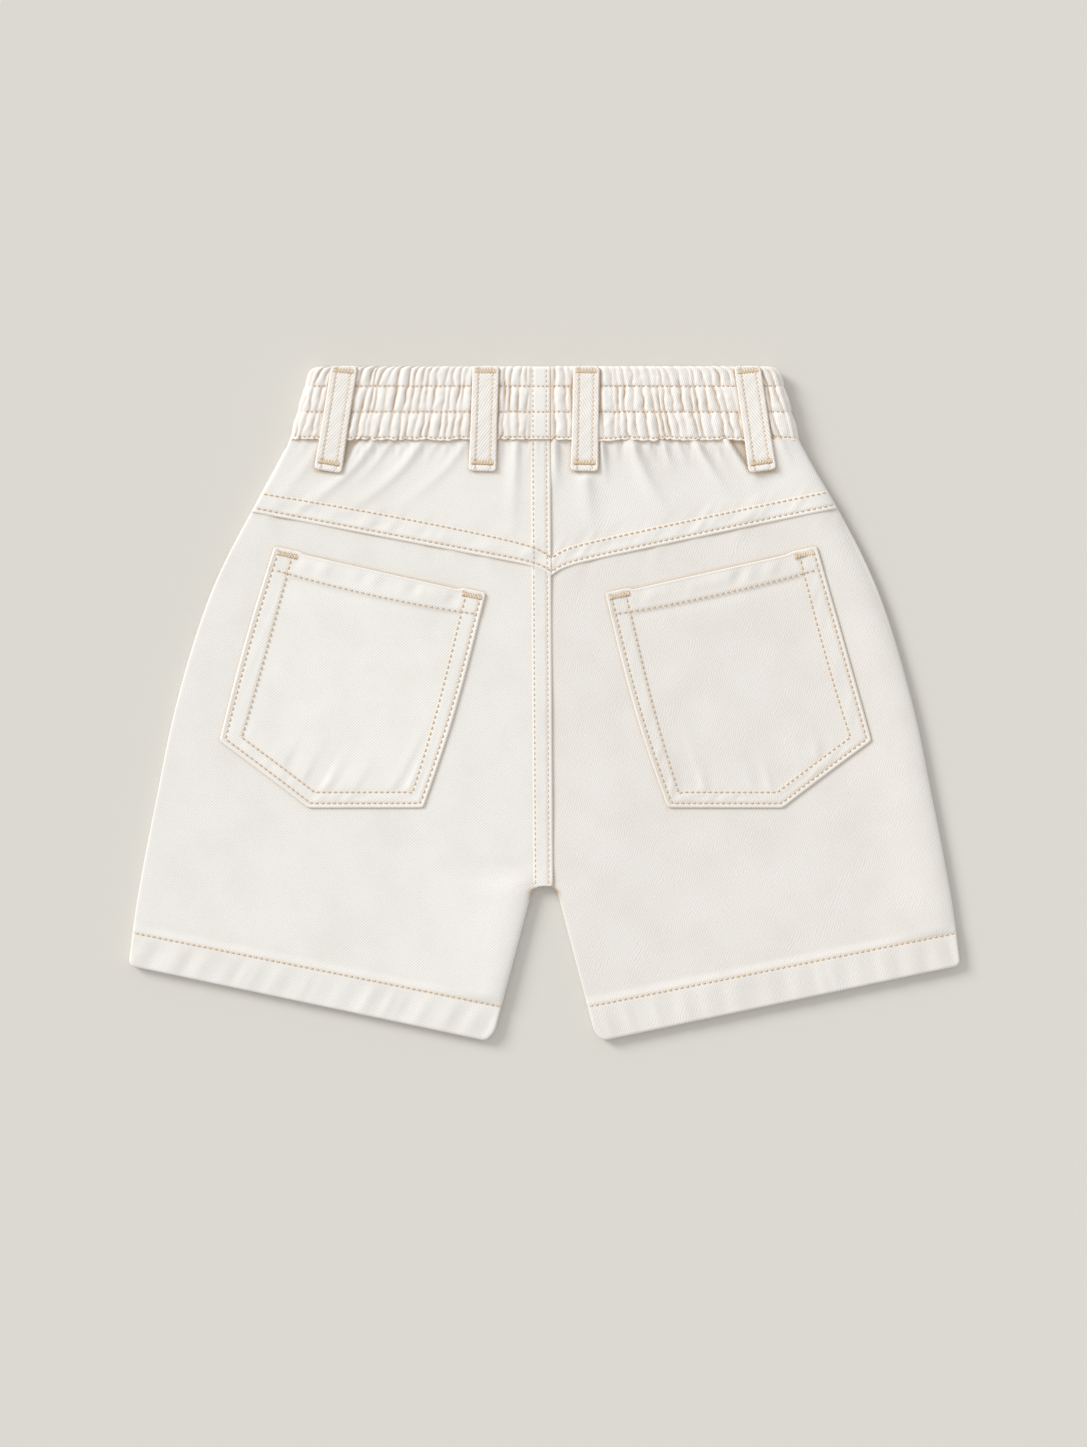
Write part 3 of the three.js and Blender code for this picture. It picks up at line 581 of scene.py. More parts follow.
def leg_lines(seam_at, top_outer, top_inner, hem_ups, counts):
    """Lines across a leg from the hem up: outer x, y, inner x, y, and how far the inner end is folded."""
    rows = []
    for up in hem_ups:
        y, outer_y = HEM_INNER_Y + up, HEM_OUTER_Y + up
        x = inseam_x(y) + HEM_INNER_CORNER_WIDTH * corner_inset(up, HEM_INNER_CORNER) / HEM_INNER_CORNER
        outer_x = half_width(outer_y) - corner_inset(up, HEM_OUTER_CORNER)
        rows.append((outer_x, outer_y, x, y, 1.0))
    hem_top = rows[-1][1] - HEM_OUTER_Y
    arch_outer = lerp(HEM_OUTER_Y, YOKE_SIDE_Y, ARCH_SHARE)

    def add(outer_y, x, y, closed):
        rows.append((half_width(outer_y), outer_y, x, y, closed))

    for t in np.linspace(0, 1, counts[0] + 1)[1:]:
        y = lerp(HEM_INNER_Y + hem_top, CROTCH_Y, t)
        add(lerp(HEM_OUTER_Y + hem_top, arch_outer, t), inseam_x(y), y, 1.0)
    end_angle = math.acos(np.clip(seam_at(CROTCH_Y) / ARCH_HALF, -1, 1))
    for k, angle in enumerate(np.linspace(0, end_angle, counts[1] + 1)[1:]):
        y = CROTCH_Y + ARCH_RISE * math.sin(min(angle, math.pi / 2))
        add(arch_outer + ARCH_SPREAD * (k + 1) / counts[1], ARCH_HALF * math.cos(angle), y, 1.0)
    fork_outer, fork_inner = rows[-1][1], rows[-1][3]
    for t in np.linspace(0, 1, counts[2] + 1)[1:]:
        y = lerp(fork_inner, top_inner, t)
        add(lerp(fork_outer, top_outer, t), seam_at(y), y, 1 - smooth(y, fork_inner, fork_inner + 5))
    return np.array(rows, float)


def columns_of(middles, outer_edges, inner_edges, arc=9):
    """Columns from the outer fold to the inner end: the end they go with, the distance from it, the turn."""
    turns = np.linspace(math.pi / 2, 0, arc)
    edge = RADIUS * (1 - fold_turn(turns)[0])
    kinds = [0] * arc + [0] * len(outer_edges) + [1] * (middles + 1) + [2] * len(inner_edges) + [2] * arc
    value = [*edge, *outer_edges, *np.linspace(0, 1, middles + 1), *inner_edges, *edge[::-1]]
    turn = [*turns, *([0] * (len(outer_edges) + middles + 1 + len(inner_edges))), *turns[::-1]]
    return np.array(kinds), np.array(value, float), np.array(turn, float)


def inner_columns(side):
    """Columns beside the middle seam, close together where the left side's strip is sewn down."""
    if side > 0:
        return graded([(16, 1.2), (2.6, 1.2)])
    return graded([(16, 1.2), (10.4, 0.5), (9.4, 0.3), (7, 0.8), (3.2, 0.3), (2.35, 0.3)])


def sheet_plan(lines, columns):
    """Plan of a piece drawn between two ends: ax, y, distance to the inner end, turn, inner ax and y."""
    kind, value, turn = columns
    ox, oy, ix, iy, closed = (lines[:, k][:, None] for k in range(5))
    length = np.hypot(ix - ox, iy - oy)
    away = np.where(kind == 1, lerp(MARGIN, length - MARGIN, value), length - value)
    away = np.where(kind == 0, value, away)
    share = away / length
    turned = turn * np.where(kind == 2, closed, 1)
    inset = np.where(kind == 2, -1, 1) * CLOTH * np.sin(turned) / length
    inner_share = share + inset
    return (
        lerp(ox, ix, share), lerp(oy, iy, share), length - away, turned,
        lerp(ox, ix, inner_share), lerp(oy, iy, inner_share),
    )


def weave_plan(x, y, turn_degrees):
    """Places on the cloth in millimetres, along the weft and the warp."""
    a = math.radians(turn_degrees)
    u = x * math.cos(a) + y * math.sin(a)
    v = -x * math.sin(a) + y * math.cos(a)
    return np.stack([u, v, 0 * u], -1)


def inner_rows_of(count, step, fork=0, fork_end=0):
    """Lines that a wall's plain inner side keeps: each step-th one, and all round the fork."""
    return sorted({*range(0, count - 1, step), *range(fork, fork_end + 1), count - 1})


def leg_inner_rows(lines, step, counts):
    fork_end = len(lines) - 1 - counts[2]
    return inner_rows_of(len(lines), step, fork_end - counts[1], fork_end)


def rolled(side, turn, middle, *faces):
    """The points of both faces of a wall, bent round the folds at its ends."""
    bend = fold_turn(turn)[1]
    return [np.stack([side * ax, y, lerp(middle, z, bend)], -1) for ax, y, z in faces]


# Materials
def srgb(r, g, b):
    def linear(c):
        c /= 255
        return c / 12.92 if c <= 0.04045 else ((c + 0.055) / 1.055) ** 2.4
    return (linear(r), linear(g), linear(b), 1)


class Nodes:
    """Short calls for building a material's nodes."""

    def __init__(self, name):
        self.material = bpy.data.materials.new(name)
        self.material.use_nodes = True
        self.tree = self.material.node_tree
        self.shader = self.tree.nodes["Principled BSDF"]

    def node(self, kind, inputs=None, **settings):
        node = self.tree.nodes.new(kind)
        for key, value in settings.items():
            setattr(node, key, value)
        for key, value in (inputs or {}).items():
            self.put(node.inputs[key], value)
        return node

    def put(self, socket, value):
        if isinstance(value, bpy.types.NodeSocket):
            self.tree.links.new(value, socket)
        else:
            socket.default_value = value

    def math(self, operation, a, b=0.0, c=0.0):
        node = self.node("ShaderNodeMath", {0: a, 1: b, 2: c}, operation=operation)
        return node.outputs[0]

    def ramp(self, value, low, high, to_low=0.0, to_high=1.0):
        node = self.node(
            "ShaderNodeMapRange",
            {"Value": value, "From Min": low, "From Max": high, "To Min": to_low, "To Max": to_high},
            interpolation_type="SMOOTHSTEP",
        )
        return node.outputs["Result"]

    def mix(self, factor, a, b, blend="MIX"):
        node = self.node("ShaderNodeMix", data_type="RGBA", blend_type=blend)
        self.put(node.inputs["Factor"], factor)
        self.put(node.inputs["A"], a)
        self.put(node.inputs["B"], b)
        return node.outputs["Result"]

    def noise(self, vector, scale, detail=2.0, rough=0.5):
        inputs = {"Vector": vector, "Scale": scale, "Detail": detail, "Roughness": rough}
        return self.node("ShaderNodeTexNoise", inputs).outputs["Fac"]

    def vector(self, operation, a, b):
        second = "Scale" if operation == "SCALE" else 1
        return self.node("ShaderNodeVectorMath", {0: a, second: b}, operation=operation).outputs[0]

    def drift(self, vector, scale, detail, size):
        """A shift about zero that varies from place to place."""
        noise = self.node("ShaderNodeTexNoise", {"Vector": vector, "Scale": scale, "Detail": detail})
        return self.vector("SCALE", self.vector("SUBTRACT", noise.outputs["Color"], (0.5, 0.5, 0.5)), size)

    def surface(self, colour, roughness, specular):
        values = {"Base Color": colour, "Roughness": roughness, "Specular IOR Level": specular}
        for key, value in values.items():
            self.put(self.shader.inputs[key], value)

    def relief(self, strength, distance, height):
        lift = self.node("ShaderNodeBump", {"Strength": strength, "Distance": distance, "Height": height})
        self.put(self.shader.inputs["Normal"], lift.outputs["Normal"])


TWILL_ANGLE, FLOAT_LENGTH = 56, 1.3  # of the ribs from the weft, and of a thread over the cloth


def denim(name, ridge, valley, shade_tan, wiggle, rib=1.0, contrast=1.0, relief_size=0.5, bend=3.0):
    """Off-white cotton twill, mixed towards a tan painted shade by the crease attribute. rib is the distance
    between two diagonal ribs in millimetres.
    """
    n = Nodes(name)
    ridge, valley, shade_tan = srgb(*ridge), srgb(*valley), srgb(*shade_tan)
    cloth = n.node("ShaderNodeAttribute", attribute_name="cloth").outputs["Vector"]
    crease = n.node("ShaderNodeAttribute", attribute_name="crease").outputs["Fac"]
    # The threads run a little unevenly, so the place is pushed about by noise.
    moved = n.vector("ADD", n.drift(cloth, 0.05, 1.0, bend), n.drift(cloth, 0.42, 2.0, wiggle))
    place = n.node("ShaderNodeSeparateXYZ", {0: n.vector("ADD", cloth, moved)})
    u, v = place.outputs[0], place.outputs[1]
    angle = math.radians(TWILL_ANGLE)
    across = n.math("MULTIPLY_ADD", u, -math.sin(angle) / rib, n.math("MULTIPLY", v, math.cos(angle) / rib))
    along = n.math("MULTIPLY_ADD", u, math.cos(angle), n.math("MULTIPLY", v, math.sin(angle)))
    ribs = n.math("ABSOLUTE", n.math("COSINE", n.math("MULTIPLY", across, math.pi)))
    row = n.math("FLOOR", n.math("ADD", across, 0.5))
    floats = n.math("MULTIPLY_ADD", row, 0.37, n.math("MULTIPLY", along, 1 / FLOAT_LENGTH))
    floats = n.math("ABSOLUTE", n.math("COSINE", n.math("MULTIPLY", floats, math.pi)))
    height = n.math("MULTIPLY", n.ramp(ribs, -0.1, 0.95), n.ramp(floats, -0.2, 0.35, 0.55, 1.0))
    uneven = n.ramp(n.noise(cloth, 0.9, 3.0, 0.6), 0.25, 0.75, 0.45 * contrast, contrast)
    colour = n.mix(n.math("MULTIPLY", n.math("SUBTRACT", 1.0, height), uneven), ridge, valley)
    patches = n.ramp(n.noise(cloth, 0.045, 3.0, 0.55), 0.35, 0.75, 0.0, 0.22)
    colour = n.mix(patches, colour, valley)
    # Painted shade: the crease attribute mixes the colour towards tan in hollows, grooves and under edges.
    colour = n.mix(n.math("MULTIPLY", crease, 0.85), colour, shade_tan)
    n.surface(colour, 0.92, 0.18)
    n.put(n.shader.inputs["Sheen Weight"], 0.12)
    n.put(n.shader.inputs["Sheen Roughness"], 0.5)
    fuzz = n.noise(cloth, 3.2, 2.0, 0.7)
    n.relief(relief_size, 0.00014, n.math("MULTIPLY_ADD", fuzz, 0.35, height))
    return n.material


def cotton_thread(name, light, dark_tone_and_shade):
    """Spun sewing thread, with shade painted dark where it dips into the cloth."""
    n = Nodes(name)
    light, dark_tone_and_shade = srgb(*light), srgb(*dark_tone_and_shade)
    # The crease attribute is 1 at the thread's ends, where painted shade darkens it as it dips into the
    # cloth.
    end = n.node("ShaderNodeAttribute", attribute_name="crease").outputs["Fac"]
    place = n.node("ShaderNodeAttribute", attribute_name="cloth").outputs["Vector"]
    parts = n.node("ShaderNodeSeparateXYZ", {0: place})
    around = n.math("MULTIPLY", parts.outputs[1], 6.0)
    twist = n.math("SINE", n.math("MULTIPLY_ADD", parts.outputs[0], 9.0, around))
    worn = n.ramp(n.noise(place, 0.8, 2.0), 0.3, 0.8)
    colour = n.mix(n.math("MULTIPLY", worn, 0.5), light, dark_tone_and_shade)
    # Painted shade: the ends take the dark colour.
    n.surface(n.mix(end, colour, dark_tone_and_shade), 0.7, 0.3)
    n.relief(0.15, 0.00008, twist)
    return n.material


# Painted shade: the warm tans that the cloth is mixed towards in its hollows, grooves and under edges.
SHADE_TAN, SHADE_TAN_BAND = (210, 186, 153), (208, 174, 134)
SMOOTHER = {"contrast": 0.85, "relief_size": 0.28}
# Copies of one off-white cloth. The two sides differ in weave, and their brightness is painted light: the
# right side's copy is darker as painted shade, and the copies for the left yoke and pocket, the right yoke,
# the waistband and the belt loops are lighter, for how the light falls on each part.
DENIM_LEFT = denim("denim_left", (245, 243, 239), (221, 215, 206), SHADE_TAN, 0.3, 0.94, relief_size=0.36)
DENIM_LEFT_LIT = denim("denim_left_lit", (248, 246, 242), (224, 218, 209), SHADE_TAN, 0.3, 0.94, relief_size=0.36)
DENIM_RIGHT = denim("denim_right", (240, 237, 232), (217, 210, 201), SHADE_TAN, 1.3, bend=6.0, **SMOOTHER)
DENIM_RIGHT_LIT = denim("denim_right_lit", (245, 243, 239), (222, 215, 206), SHADE_TAN, 1.0, bend=5.0, **SMOOTHER)
DENIM_BAND = denim("denim_band", (251, 249, 246), (229, 221, 210), SHADE_TAN_BAND, 0.3, relief_size=0.45)
DENIM_LOOP = denim("denim_loops", (252, 250, 246), (225, 216, 203), SHADE_TAN_BAND, 0.2, 1.15, 1.2, 0.5)
DENIM = {-1: DENIM_LEFT, 1: DENIM_RIGHT}
YOKE_DENIM = {-1: DENIM_LEFT_LIT, 1: DENIM_RIGHT_LIT}
POCKET_DENIM = {-1: DENIM_LEFT_LIT, 1: DENIM_RIGHT}
# Each thread's second colour is its uneven darker tone and the painted shade at its ends.
THREAD_LIGHT = cotton_thread("thread_tan", (229, 211, 184), (212, 183, 149))
THREAD_PALE = cotton_thread("thread_pale", (240, 229, 210), (212, 184, 150))
THREAD_DARK = cotton_thread("thread_tacks", (244, 228, 200), (202, 168, 126))
THREAD_BAND = cotton_thread("thread_waistband", (225, 202, 170), (203, 171, 133))


class Hollows:
    """How far each place lies in a hollow of the whole surface seen from above, for the shade painted there.
    """

    STEP, REACH_X, REACH_Y = 0.4, 192, 156

    def __init__(self):
        self.xs = np.arange(-self.REACH_X, self.REACH_X + 0.1, self.STEP)
        self.ys = np.arange(-self.REACH_Y, self.REACH_Y + 0.1, self.STEP)
        x, y = np.meshgrid(self.xs, self.ys)
        z = np.zeros(x.shape)
        for side in SIDES.values():
            ax = side * x
            mine = (ax > -seam_x(y)) if side < 0 else (ax >= seam_x(y))
            inside = mine & (ax < half_width(y)) & (hem_up(ax, y) > 0) & ((y > CROTCH_Y) | (ax > inseam_x(y)))
            band = inside & (y >= BAND_Y) & (y < WAIST_Y)
            yoke = inside & (y < BAND_Y) & (y >= yoke_edge(ax, side))
            leg = inside & (y < BAND_Y) & (y < yoke_edge(ax, side))
            for mask, face in ((band, band_face), (yoke, yoke_face), (leg, leg_face)):
                z[mask] = face(side, x[mask], y[mask])
            ax = side * (x - POCKET_SHIFT)
            cut_x, cut_y = x - side * pocket_bow(side, ax, y), y + opening_sag(ax, y)
            nearest = np.minimum.reduce(pocket_distances(side * (cut_x - POCKET_SHIFT), cut_y))
            pocket = inside & (nearest > 0)
            z[pocket] = pocket_face(side, cut_x[pocket], cut_y[pocket])
        for name in BELT_LOOPS:
            down = WAIST_Y - y
            off = x - loop_middle(name, down)
            on = (np.abs(off) < LOOP_WIDTH / 2) & (down > 0) & (down < LOOP_LENGTH)
            z[on] = loop_face(name, off[on], down[on])
        self.close, self.wide = self.blur(z, 0.8), self.blur(z, 4.0)

    def blur(self, z, width):
        reach = int(3 * width / self.STEP)
        weights = np.exp(-0.5 * (np.arange(-reach, reach + 1) * self.STEP / width) ** 2)
        weights /= weights.sum()
        for axis in (0, 1):
            total = 0 * z
            for shift, weight in zip(range(-reach, reach + 1), weights):
                total += weight * np.roll(z, shift, axis)
            z = total
        return z

    def shade_tint(self, points):
        """How much shade is painted on the cloth, in tan, for its hollows, at points in millimetres."""
        u = np.clip((points[..., 0] - self.xs[0]) / self.STEP, 0, len(self.xs) - 1.001)
        v = np.clip((points[..., 1] - self.ys[0]) / self.STEP, 0, len(self.ys) - 1.001)
        i, j = u.astype(int), v.astype(int)
        close, wide = (
            between(lambda a, b: field[j + b, i + a], u - i, v - j) for field in (self.close, self.wide)
        )
        near, far = 0.8 * (close - points[..., 2]), wide - points[..., 2]
        return np.clip(1.35 * near - 0.05, 0, 0.8) + np.clip(0.16 * far, 0, 0.2)


def row_shade(distance, inner=INNER_ROW):
    """Painted shade, in tan, in the grooves of a seam's two rows of stitches."""
    return bump(distance, EDGE_ROW, 0.7) + bump(distance, inner, 0.7)


def under_strip(ax, y):
    """1 where the right side's cloth lies under the strip of the middle seam."""
    return smooth(seam_x(y) - ax, -0.1, 0.5)


def edge_shade(ax, y):
    """Painted shade, in tan, on the right side's cloth along the edge of the strip that laps over it."""
    return 0.5 * bump(ax - seam_x(y), 0.0, 0.5)


# Panels
def back_panel(which, side):
    lines = leg_lines(
        lambda y: -seam_x(y) if side < 0 else seam_x(y) - BELOW,
        YOKE_SIDE_Y + BELOW, YOKE_MIDDLE_Y - YOKE_DIP + BELOW, HEM_UPS, BACK_LINES,
    )
    outer_edges = graded([(2.7, 0.8), (6, 1.2), (12, 1.4), (16, 1)])
    columns = columns_of(110, outer_edges, inner_columns(side))
    ax, y, to_seam, turn, inner_ax, inner_y = sheet_plan(lines, columns)
    # The top follows the yoke's edge, with its dip at the middle seam.
    up_the_leg = smooth((np.arange(len(lines)) / (len(lines) - 1))[:, None], 0.6, 1.0)
    wanted = yoke_edge(ax, side) + BELOW
    y = lerp(y, y + (wanted - y[-1:, :]), up_the_leg)
    inner_y = lerp(inner_y, inner_y + (wanted - y[-1:, :]), up_the_leg)
    plain = back_height(ax, y, side)
    under = smooth(y - yoke_edge(ax, side), -0.1, 0.5)
    if side > 0:
        under = np.maximum(under, under_strip(ax, y) * smooth(y, CROTCH_Y, CROTCH_Y + 6))
    z = lerp(leg_face(side, side * ax, y), plain - 0.2, under)
    up = hem_up(ax, y)
    thick = lerp(CLOTH, HEM_CLOTH, 1 - smooth(up, HEM_DEPTH - 1, HEM_DEPTH + 0.5))
    inner_z = np.minimum(z, plain + 1.4) - thick
    if side < 0:
        edge = (1 - smooth(to_seam, 3.0, 5.0)) * smooth(y, CROTCH_Y + 2, CROTCH_Y + 8)
        inner_z = lerp(inner_z, z - SEWN_WALL, edge)
    outer, inner = rolled(side, turn, RADIUS + 0.02, (ax, y, z), (inner_ax, inner_y, inner_z))
    rows = leg_inner_rows(lines, 6, BACK_LINES)
    cloth = weave_plan(side * ax, y, GRAIN[side])
    # Painted shade, in tan: along the hem's row and its foot, just under the yoke's edge, in the corners of
    # the fork, and beside or along the middle seam's strip, with the painted shade of the hollows on top.
    crease = 0.35 * bump(up, HEM_ROW, 0.9) + 0.35 * bump(up, 0, 0.5)
    crease = crease + 0.5 * bump(yoke_edge(ax, side) - y, 0.2, 0.7)
    fork = np.hypot((ax - ARCH_HALF) / 2.2, (y - CROTCH_Y - 1) / 3.0)
    crease = crease + 1.9 * np.exp(-(fork**2)) * (1 - smooth(to_seam, 0.5, 1.9))
    if side > 0:
        crease = crease + edge_shade(ax, y) * smooth(y, CROTCH_Y, CROTCH_Y + 4)
    else:
        crease = crease + 0.25 * row_shade(to_seam) * (y > CROTCH_Y)
    crease = np.clip(0.5 * crease + HOLLOWS.shade_tint(outer), 0, 1)
    ob = shell(f"back_panel_{which}", outer, inner[rows], rows, cloth, crease, DENIM[side])
    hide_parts(f"back_{which}")


def front_panel(which, side):
    lines = leg_lines(lambda y: 0.05, BAND_Y + 1.5, BAND_Y + 1.5, HEM_UPS[::2], FRONT_LINES)
    outer_edges = graded([(3, 1.5), (9, 2.5), (16, 1)])
    inner_edges = graded([(16, 2.5), (3, 1)])
    columns = columns_of(46, outer_edges, inner_edges, arc=7)
    ax, y, to_seam, turn, inner_ax, inner_y = sheet_plan(lines, columns)
    tucked = 0.5 * bump(y, CROTCH_Y + ARCH_RISE, 4) * bump(ax, 0, 7)
    y, inner_y = y + tucked, inner_y + tucked
    up = hem_up(ax, y)
    inside = 1 - smooth(up, HEM_DEPTH - 0.3, HEM_DEPTH + 0.8)
    seam = (1 - smooth(to_seam, 0, 1.0)) * smooth(y, CROTCH_Y, CROTCH_Y + 6)
    z = FRONT_LIFT + 0.1 * (1 - inside) + 0.4 * (1 - smooth(up, -0.2, 1.3)) + 0.45 * seam
    inner_z = FRONT_LIFT + lerp(CLOTH - 0.2, HEM_CLOTH - 0.2, inside)
    outer, inner = rolled(side, turn, RADIUS - 0.02, (ax, y, z), (inner_ax, inner_y, inner_z))
    rows = leg_inner_rows(lines, 4, FRONT_LINES)
    cloth = weave_plan(-side * ax, y, -GRAIN[side])
    # Painted shade, in tan, along the hem's row and beside the middle seam.
    crease = np.clip(0.35 * bump(up, HEM_ROW, 1.2) + 0.5 * seam, 0, 1)
    ob = shell(f"front_panel_{which}", outer, inner[rows], rows, cloth, crease, DENIM[side])
    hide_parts(f"front_{which}")


def yoke_piece(which, side):
    ups = graded([(0, 0.12), (0.5, 0.3), (3.2, 0.8), (7, 0.3), (11.2, 0.6), (12, 1.1), (13, 1)])
    rises = np.linspace(0, 1, 44)[1:]
    outer_y, inner_y = (
        np.concatenate([low + ups, lerp(low + ups[-1], BAND_Y + BELOW, rises)])
        for low in (YOKE_SIDE_Y, YOKE_MIDDLE_Y)
    )
    dip_share = np.concatenate([np.ones(len(ups)), 1 - rises])[:, None]
    inner_x = -seam_x(inner_y) if side < 0 else seam_x(inner_y) - BELOW
    lines = np.stack([half_width(outer_y), outer_y, inner_x, inner_y, 0 * inner_y], -1)
    outer_edges = graded([(2.7, 0.8), (6, 1.2), (16, 1)])
    columns = columns_of(96, outer_edges, inner_columns(side))
    ax, y, to_seam, turn, inner_ax, inner_y = sheet_plan(lines, columns)
    shift = (yoke_edge(ax, side) - y[:1, :]) * dip_share
    y, inner_y = y + shift, inner_y + shift
    plain = back_height(ax, y, side)
    z = yoke_face(side, side * ax, y)
    if side > 0:
        z = lerp(z, plain - 0.2, under_strip(ax, y))
    z = lerp(z, np.minimum(z, 5.3), smooth(y - BAND_Y, 0.2, 1.0))
    up = y - yoke_edge(ax, side)
    edge = 1 - smooth(up, 2.8, 4.6)
    if side < 0:
        edge = np.maximum(edge, 1 - smooth(to_seam, 3.0, 5.0))
    inner_z = lerp(np.minimum(z, plain + 1.2) - CLOTH, z - SEWN_WALL, edge)
    outer, inner = rolled(side, turn, RADIUS + 0.02, (ax, y, z), (inner_ax, inner_y, inner_z))
    rows = inner_rows_of(len(lines), 3)
    cloth = weave_plan(side * ax, y, GRAIN[side])
    # Painted shade, in tan: under the waistband's lip, along the rows, beside or along the middle seam's
    # strip and in the hollow beside the outer belt loop, with the painted shade of the hollows, less of it
    # just under the lip.
    under_band = BAND_Y - y
    crease = 0.55 * bump(under_band, -0.1, 0.65) + 0.2 * row_shade(up, yoke_inner_row(ax, side))
    crease = crease + (edge_shade(ax, y) if side > 0 else 0.2 * row_shade(to_seam))
    crease = crease + 0.75 * np.clip(-side_tuck(side, ax, under_band), 0, 1)
    under_lip = 1 - 0.5 * falling(under_band, 1.6)
    crease = np.clip(0.5 * crease + HOLLOWS.shade_tint(outer) * under_lip, 0, 1)
    ob = shell(f"yoke_panel_{which}", outer, inner[rows], rows, cloth, crease, YOKE_DENIM[side])
    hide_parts(f"yoke_{which}")


def waistband(which, side):
    radius = BAND_HEIGHT / 2
    ups = graded([
        (0, 0.12), (0.6, 0.25), (2.1, 0.6), (11.6, 0.3), (13.6, 0.6), (23.2, 0.3), (25.1, 0.6), (31, 0.4),
        (33, 0.3),
    ])
    y = (BAND_Y + ups)[:, None]
    start, fold = band_start(side), band_fold(y)
    back, front = np.linspace(0, 1, 250), np.linspace(0, 1, 170)
    turns = np.linspace(0, math.pi, 26)[1:-1]
    flat_length = BACK_LENGTH - start
    along = np.concatenate([
        back * flat_length,
        flat_length + radius * turns,
        flat_length + radius * math.pi + front * BACK_LENGTH,
    ])[None, :]
    x = np.concatenate([
        lerp(start, fold, back[None, :]),
        np.repeat(fold, len(turns), 1),
        lerp(fold, 0.03, front[None, :]),
    ], 1)
    turn = np.concatenate([0 * back, turns, math.pi + 0 * front])[None, :]
    up = np.broadcast_to(ups[:, None], x.shape)
    rise, crease = band_rise(side, along, up)
    front_share = 0.5 - 0.5 * np.cos(turn)
    # The front's gathers press on the surface, so its ridges are level and its valleys lie higher.
    reach = radius + rise * lerp(1.0, 0.7, front_share) - 1.05 * front_share
    reach = np.where(front_share > 0.5, np.minimum(reach, radius - 0.04), reach)
    # The wall is thinner at the lip, most of all on the back, where the yoke runs under it.
    lip_radius = np.where(np.cos(turn) > -0.5, 2.5, 1.3)
    inner_reach = lerp(radius - BAND_WALL, lip_radius, 1 - smooth(up, 2.2, 3.4))
    shift = band_shift(side, along, up)
    outer, inner = (
        np.stack([side * (x + r * np.sin(turn)), y + shift, radius + r * np.cos(turn)], -1)
        for r in (reach, inner_reach)
    )
    kept = (int(np.argmin(abs(ups - v))) for v in (1.0, 2.1, 2.9, 3.6, 8, 14, 20, 26, 31))
    rows = sorted({0, *kept, len(ups) - 1})
    cloth = np.stack([side * along * 1.25 + 0 * y, up, 0 * x], -1)
    # Painted shade, in tan: in the gathers' valleys and in the hollows, along the lip's underside and, on the
    # right half, beside the middle seam's strip.
    shade_tint = HOLLOWS.shade_tint(outer) * (1 - smooth(turn, 0, 0.7))
    crease = np.clip(0.65 * crease + 1.3 * shade_tint, 0, 1)
    crease = np.clip(crease + 1.0 * bump(up, -0.05, 0.42) * (turn < 1.2), 0, 1)
    if side > 0:
        crease = np.clip(crease + 0.8 * bump(along, 0.0, 0.7) * (turn < 0.1), 0, 1)
    ob = shell(f"waistband_cloth_{which}", outer, inner[rows], rows, cloth, crease, DENIM_BAND)
    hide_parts(f"waistband_{which}")


# Pockets
def direction(a, b):
    return (b - a) / np.hypot(*(b - a))


def inwards(along):
    """A direction turned a quarter to the left, which points into the pocket from its side."""
    return np.array([-along[1], along[0]])


def pocket_side(k):
    return POCKET_CORNERS[k], POCKET_CORNERS[(k + 1) % 5]


def pocket_distances(ax, y):
    """Distance inwards from each side of the pocket, the opening first."""
    out = []
    for k in range(5):
        a, b = pocket_side(k)
        along = direction(a, b)
        out.append((y - a[1]) * along[0] - (ax - a[0]) * along[1])
    return out


def side_share(k, ax, y):
    """How far along side k of the pocket a place lies, from 0 to 1."""
    a, b = pocket_side(k)
    run = b - a
    return np.clip(((ax - a[0]) * run[0] + (y - a[1]) * run[1]) / np.hypot(*run) ** 2, 0, 1)


def border_wider(wide, share):
    """How much wider the sewn border is at a share of its side: a curve through three widths."""
    start, middle, end = wide
    ends = start * (1 - share) * (1 - 2 * share) + end * share * (2 * share - 1)
    return ends + 4 * middle * share * (1 - share)


def pocket_top_row(side, ax, y):
    """Distance of the opening's row of stitches from its edge: the hem is deeper in its middle."""
    return POCKET_TOP_ROW + POCKET_TOP_DEEPER[side] * np.sin(np.pi * side_share(0, ax, y)) ** 0.8


def pocket_measures(side, ax, y):
    """Distances from the opening and from the sewn border. The border is narrower along the foot."""
    d = pocket_distances(ax, y)
    for k, wide in POCKET_BORDER_WIDER[side].items():
        inwards = smooth(d[k], POCKET_EDGE_ROW + 0.4, POCKET_INNER_ROW + min(wide))
        d[k] = d[k] - border_wider(wide, side_share(k, ax, y)) * inwards
    foot_row = POCKET_INNER_ROW - POCKET_FOOT_NARROWER
    for k in (2, 3):
        d[k] = d[k] + POCKET_FOOT_NARROWER * smooth(d[k], POCKET_EDGE_ROW + 0.4, foot_row)
    return d[0], np.minimum.reduce(d[1:])


def pocket_bow(side, ax, y):
    """How far the pocket's long sides bow outwards, as a shift away from the middle of the garment."""
    d = pocket_distances(ax, y)
    inner, outer = np.maximum(d[1], 0), np.maximum(d[4], 0)
    share = inner / (inner + outer + 1e-6)
    down_inner = (POCKET_CORNERS[1, 1] - y) / (POCKET_CORNERS[1, 1] - POCKET_CORNERS[2, 1])
    down_outer = (POCKET_CORNERS[0, 1] - y) / (POCKET_CORNERS[0, 1] - POCKET_CORNERS[4, 1])
    bow_inner, bow_outer = POCKET_BOWS[side]
    return (
        bow_outer * np.sin(np.pi * np.clip(down_outer, 0, 1)) * share
        - bow_inner * np.sin(np.pi * np.clip(down_inner, 0, 1) ** 1.15) * (1 - share)
    )


